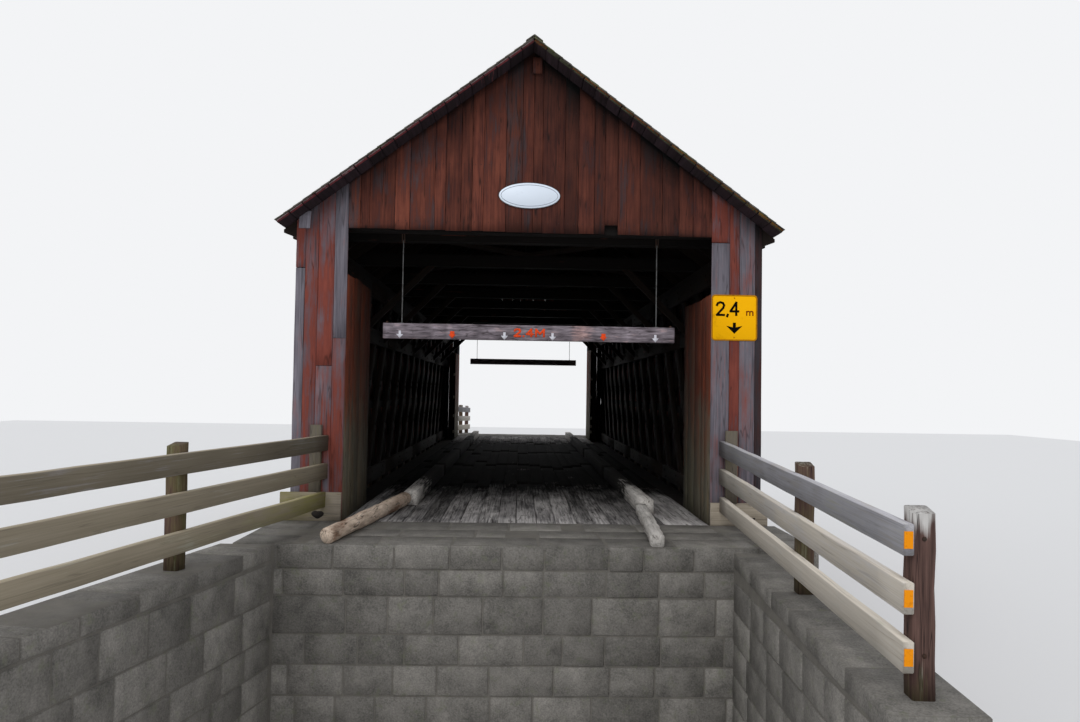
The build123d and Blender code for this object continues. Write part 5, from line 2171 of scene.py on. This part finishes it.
@dataclass
class Studio:
    """Pale floor, soft daylight, and a camera at the photograph's place.

    The camera stands 11.2 m before the portal and 1.75 m above the deck, turned up and to the right.
    """

    place: Triple = (-0.12, -21.7, 4.45)
    # Degrees that the camera is turned to the right, upwards, and about its own line of sight.
    right_turn: float = 1.36
    up_turn: float = 2.05
    roll: float = 0.9
    lens: float = 28.0
    floor_half: Pair = (60.0, 80.0)
    floor_drop: float = 0.002
    sky: float = 0.8
    sun: float = 0.9
    # Degrees: how wide the sun is, and how far it is tipped and swung from overhead.
    sun_width: float = 40.0
    sun_tip: float = 50.0
    sun_swing: float = -28.0

    def floor(self) -> None:
        """Plain pale ground plane under the abutments."""
        x, y = self.floor_half
        points = np.array([(-x, -y), (x, -y), (x, y), (-x, y)])
        points = column(points[:, 0], points[:, 1], -self.floor_drop)
        made = put_mesh("studio_floor", points, [np.array([[0, 1, 2, 3]])])
        paper, _, shade = blank("studio_paper")
        shade({"Base Color": linear("#e4e4e4"), "Roughness": 0.95})
        made.data.materials.append(paper)

    def light(self) -> None:
        """Even pale sky, and a broad soft sun from the upper left in front."""
        world = bpy.data.worlds.new("studio_world")
        world.use_nodes = True
        world.node_tree.nodes.clear()
        add = partial(node, world.node_tree)
        camera, glossy, clear = (
            add("LightPath", out=f"Is {kind} Ray") for kind in ("Camera", "Glossy", "Transmission")
        )
        seen = add("Math", {0: camera, 1: glossy}, operation="MAXIMUM")
        seen = add("Math", {0: seen, 1: clear}, operation="MAXIMUM")
        lit = add("Background", {"Color": linear("#f4f6fa"), "Strength": self.sky})
        backdrop = add("Background", {"Color": linear("#f3f4f6"), "Strength": 1.0})
        both = add("MixShader", {0: seen, 1: lit, 2: backdrop})
        add("OutputWorld", {"Surface": both}, out=slice(0))
        bpy.context.scene.world = world
        lamp = bpy.data.lights.new("soft_sun", "SUN")
        lamp.energy, lamp.angle = self.sun, math.radians(self.sun_width)
        made = bpy.data.objects.new("soft_sun", lamp)
        made.rotation_euler = (math.radians(self.sun_tip), 0.0, math.radians(self.sun_swing))
        bpy.context.scene.collection.objects.link(made)

    def camera(self) -> None:
        """Camera with the turns of the photograph."""
        data = bpy.data.cameras.new("photo_camera")
        data.lens, data.sensor_width, data.clip_end = self.lens, 36.0, 300.0
        made = bpy.data.objects.new("photo_camera", data)
        turns = ((-self.right_turn, "Z"), (90 + self.up_turn, "X"), (self.roll, "Z"))
        aim = Matrix.Translation(Vector(self.place))
        for angle, axis in turns:
            aim = aim @ Matrix.Rotation(math.radians(angle), 4, axis)
        made.matrix_world = aim
        bpy.context.scene.collection.objects.link(made)
        bpy.context.scene.camera = made

    def build(self) -> None:
        """Sets the stage."""
        self.floor()
        self.light()
        self.camera()
        bpy.context.scene.view_settings.view_transform = "Standard"


def corners(box: tuple[Vector, Vector]) -> list[list[float]]:
    """A box as plain lists of numbers."""
    return [[float(value) for value in corner] for corner in box]


def main() -> None:
    """Dresses the bridge and sets the stage."""
    logging.basicConfig(level=logging.INFO, format="%(message)s")
    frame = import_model()
    at = Layout.read()
    Carried(frame["nodes"]).build()
    for part in (
        Portal(at), Roof(at), Walls(at), Truss(at), Deck(at), Fences(at), Masonry(at), Signs(), Nails(at),
        ClearanceBar("near", True), ClearanceBar("far", False), Studio(),
    ):
        part.build()


if __name__ == "__main__":
    main()
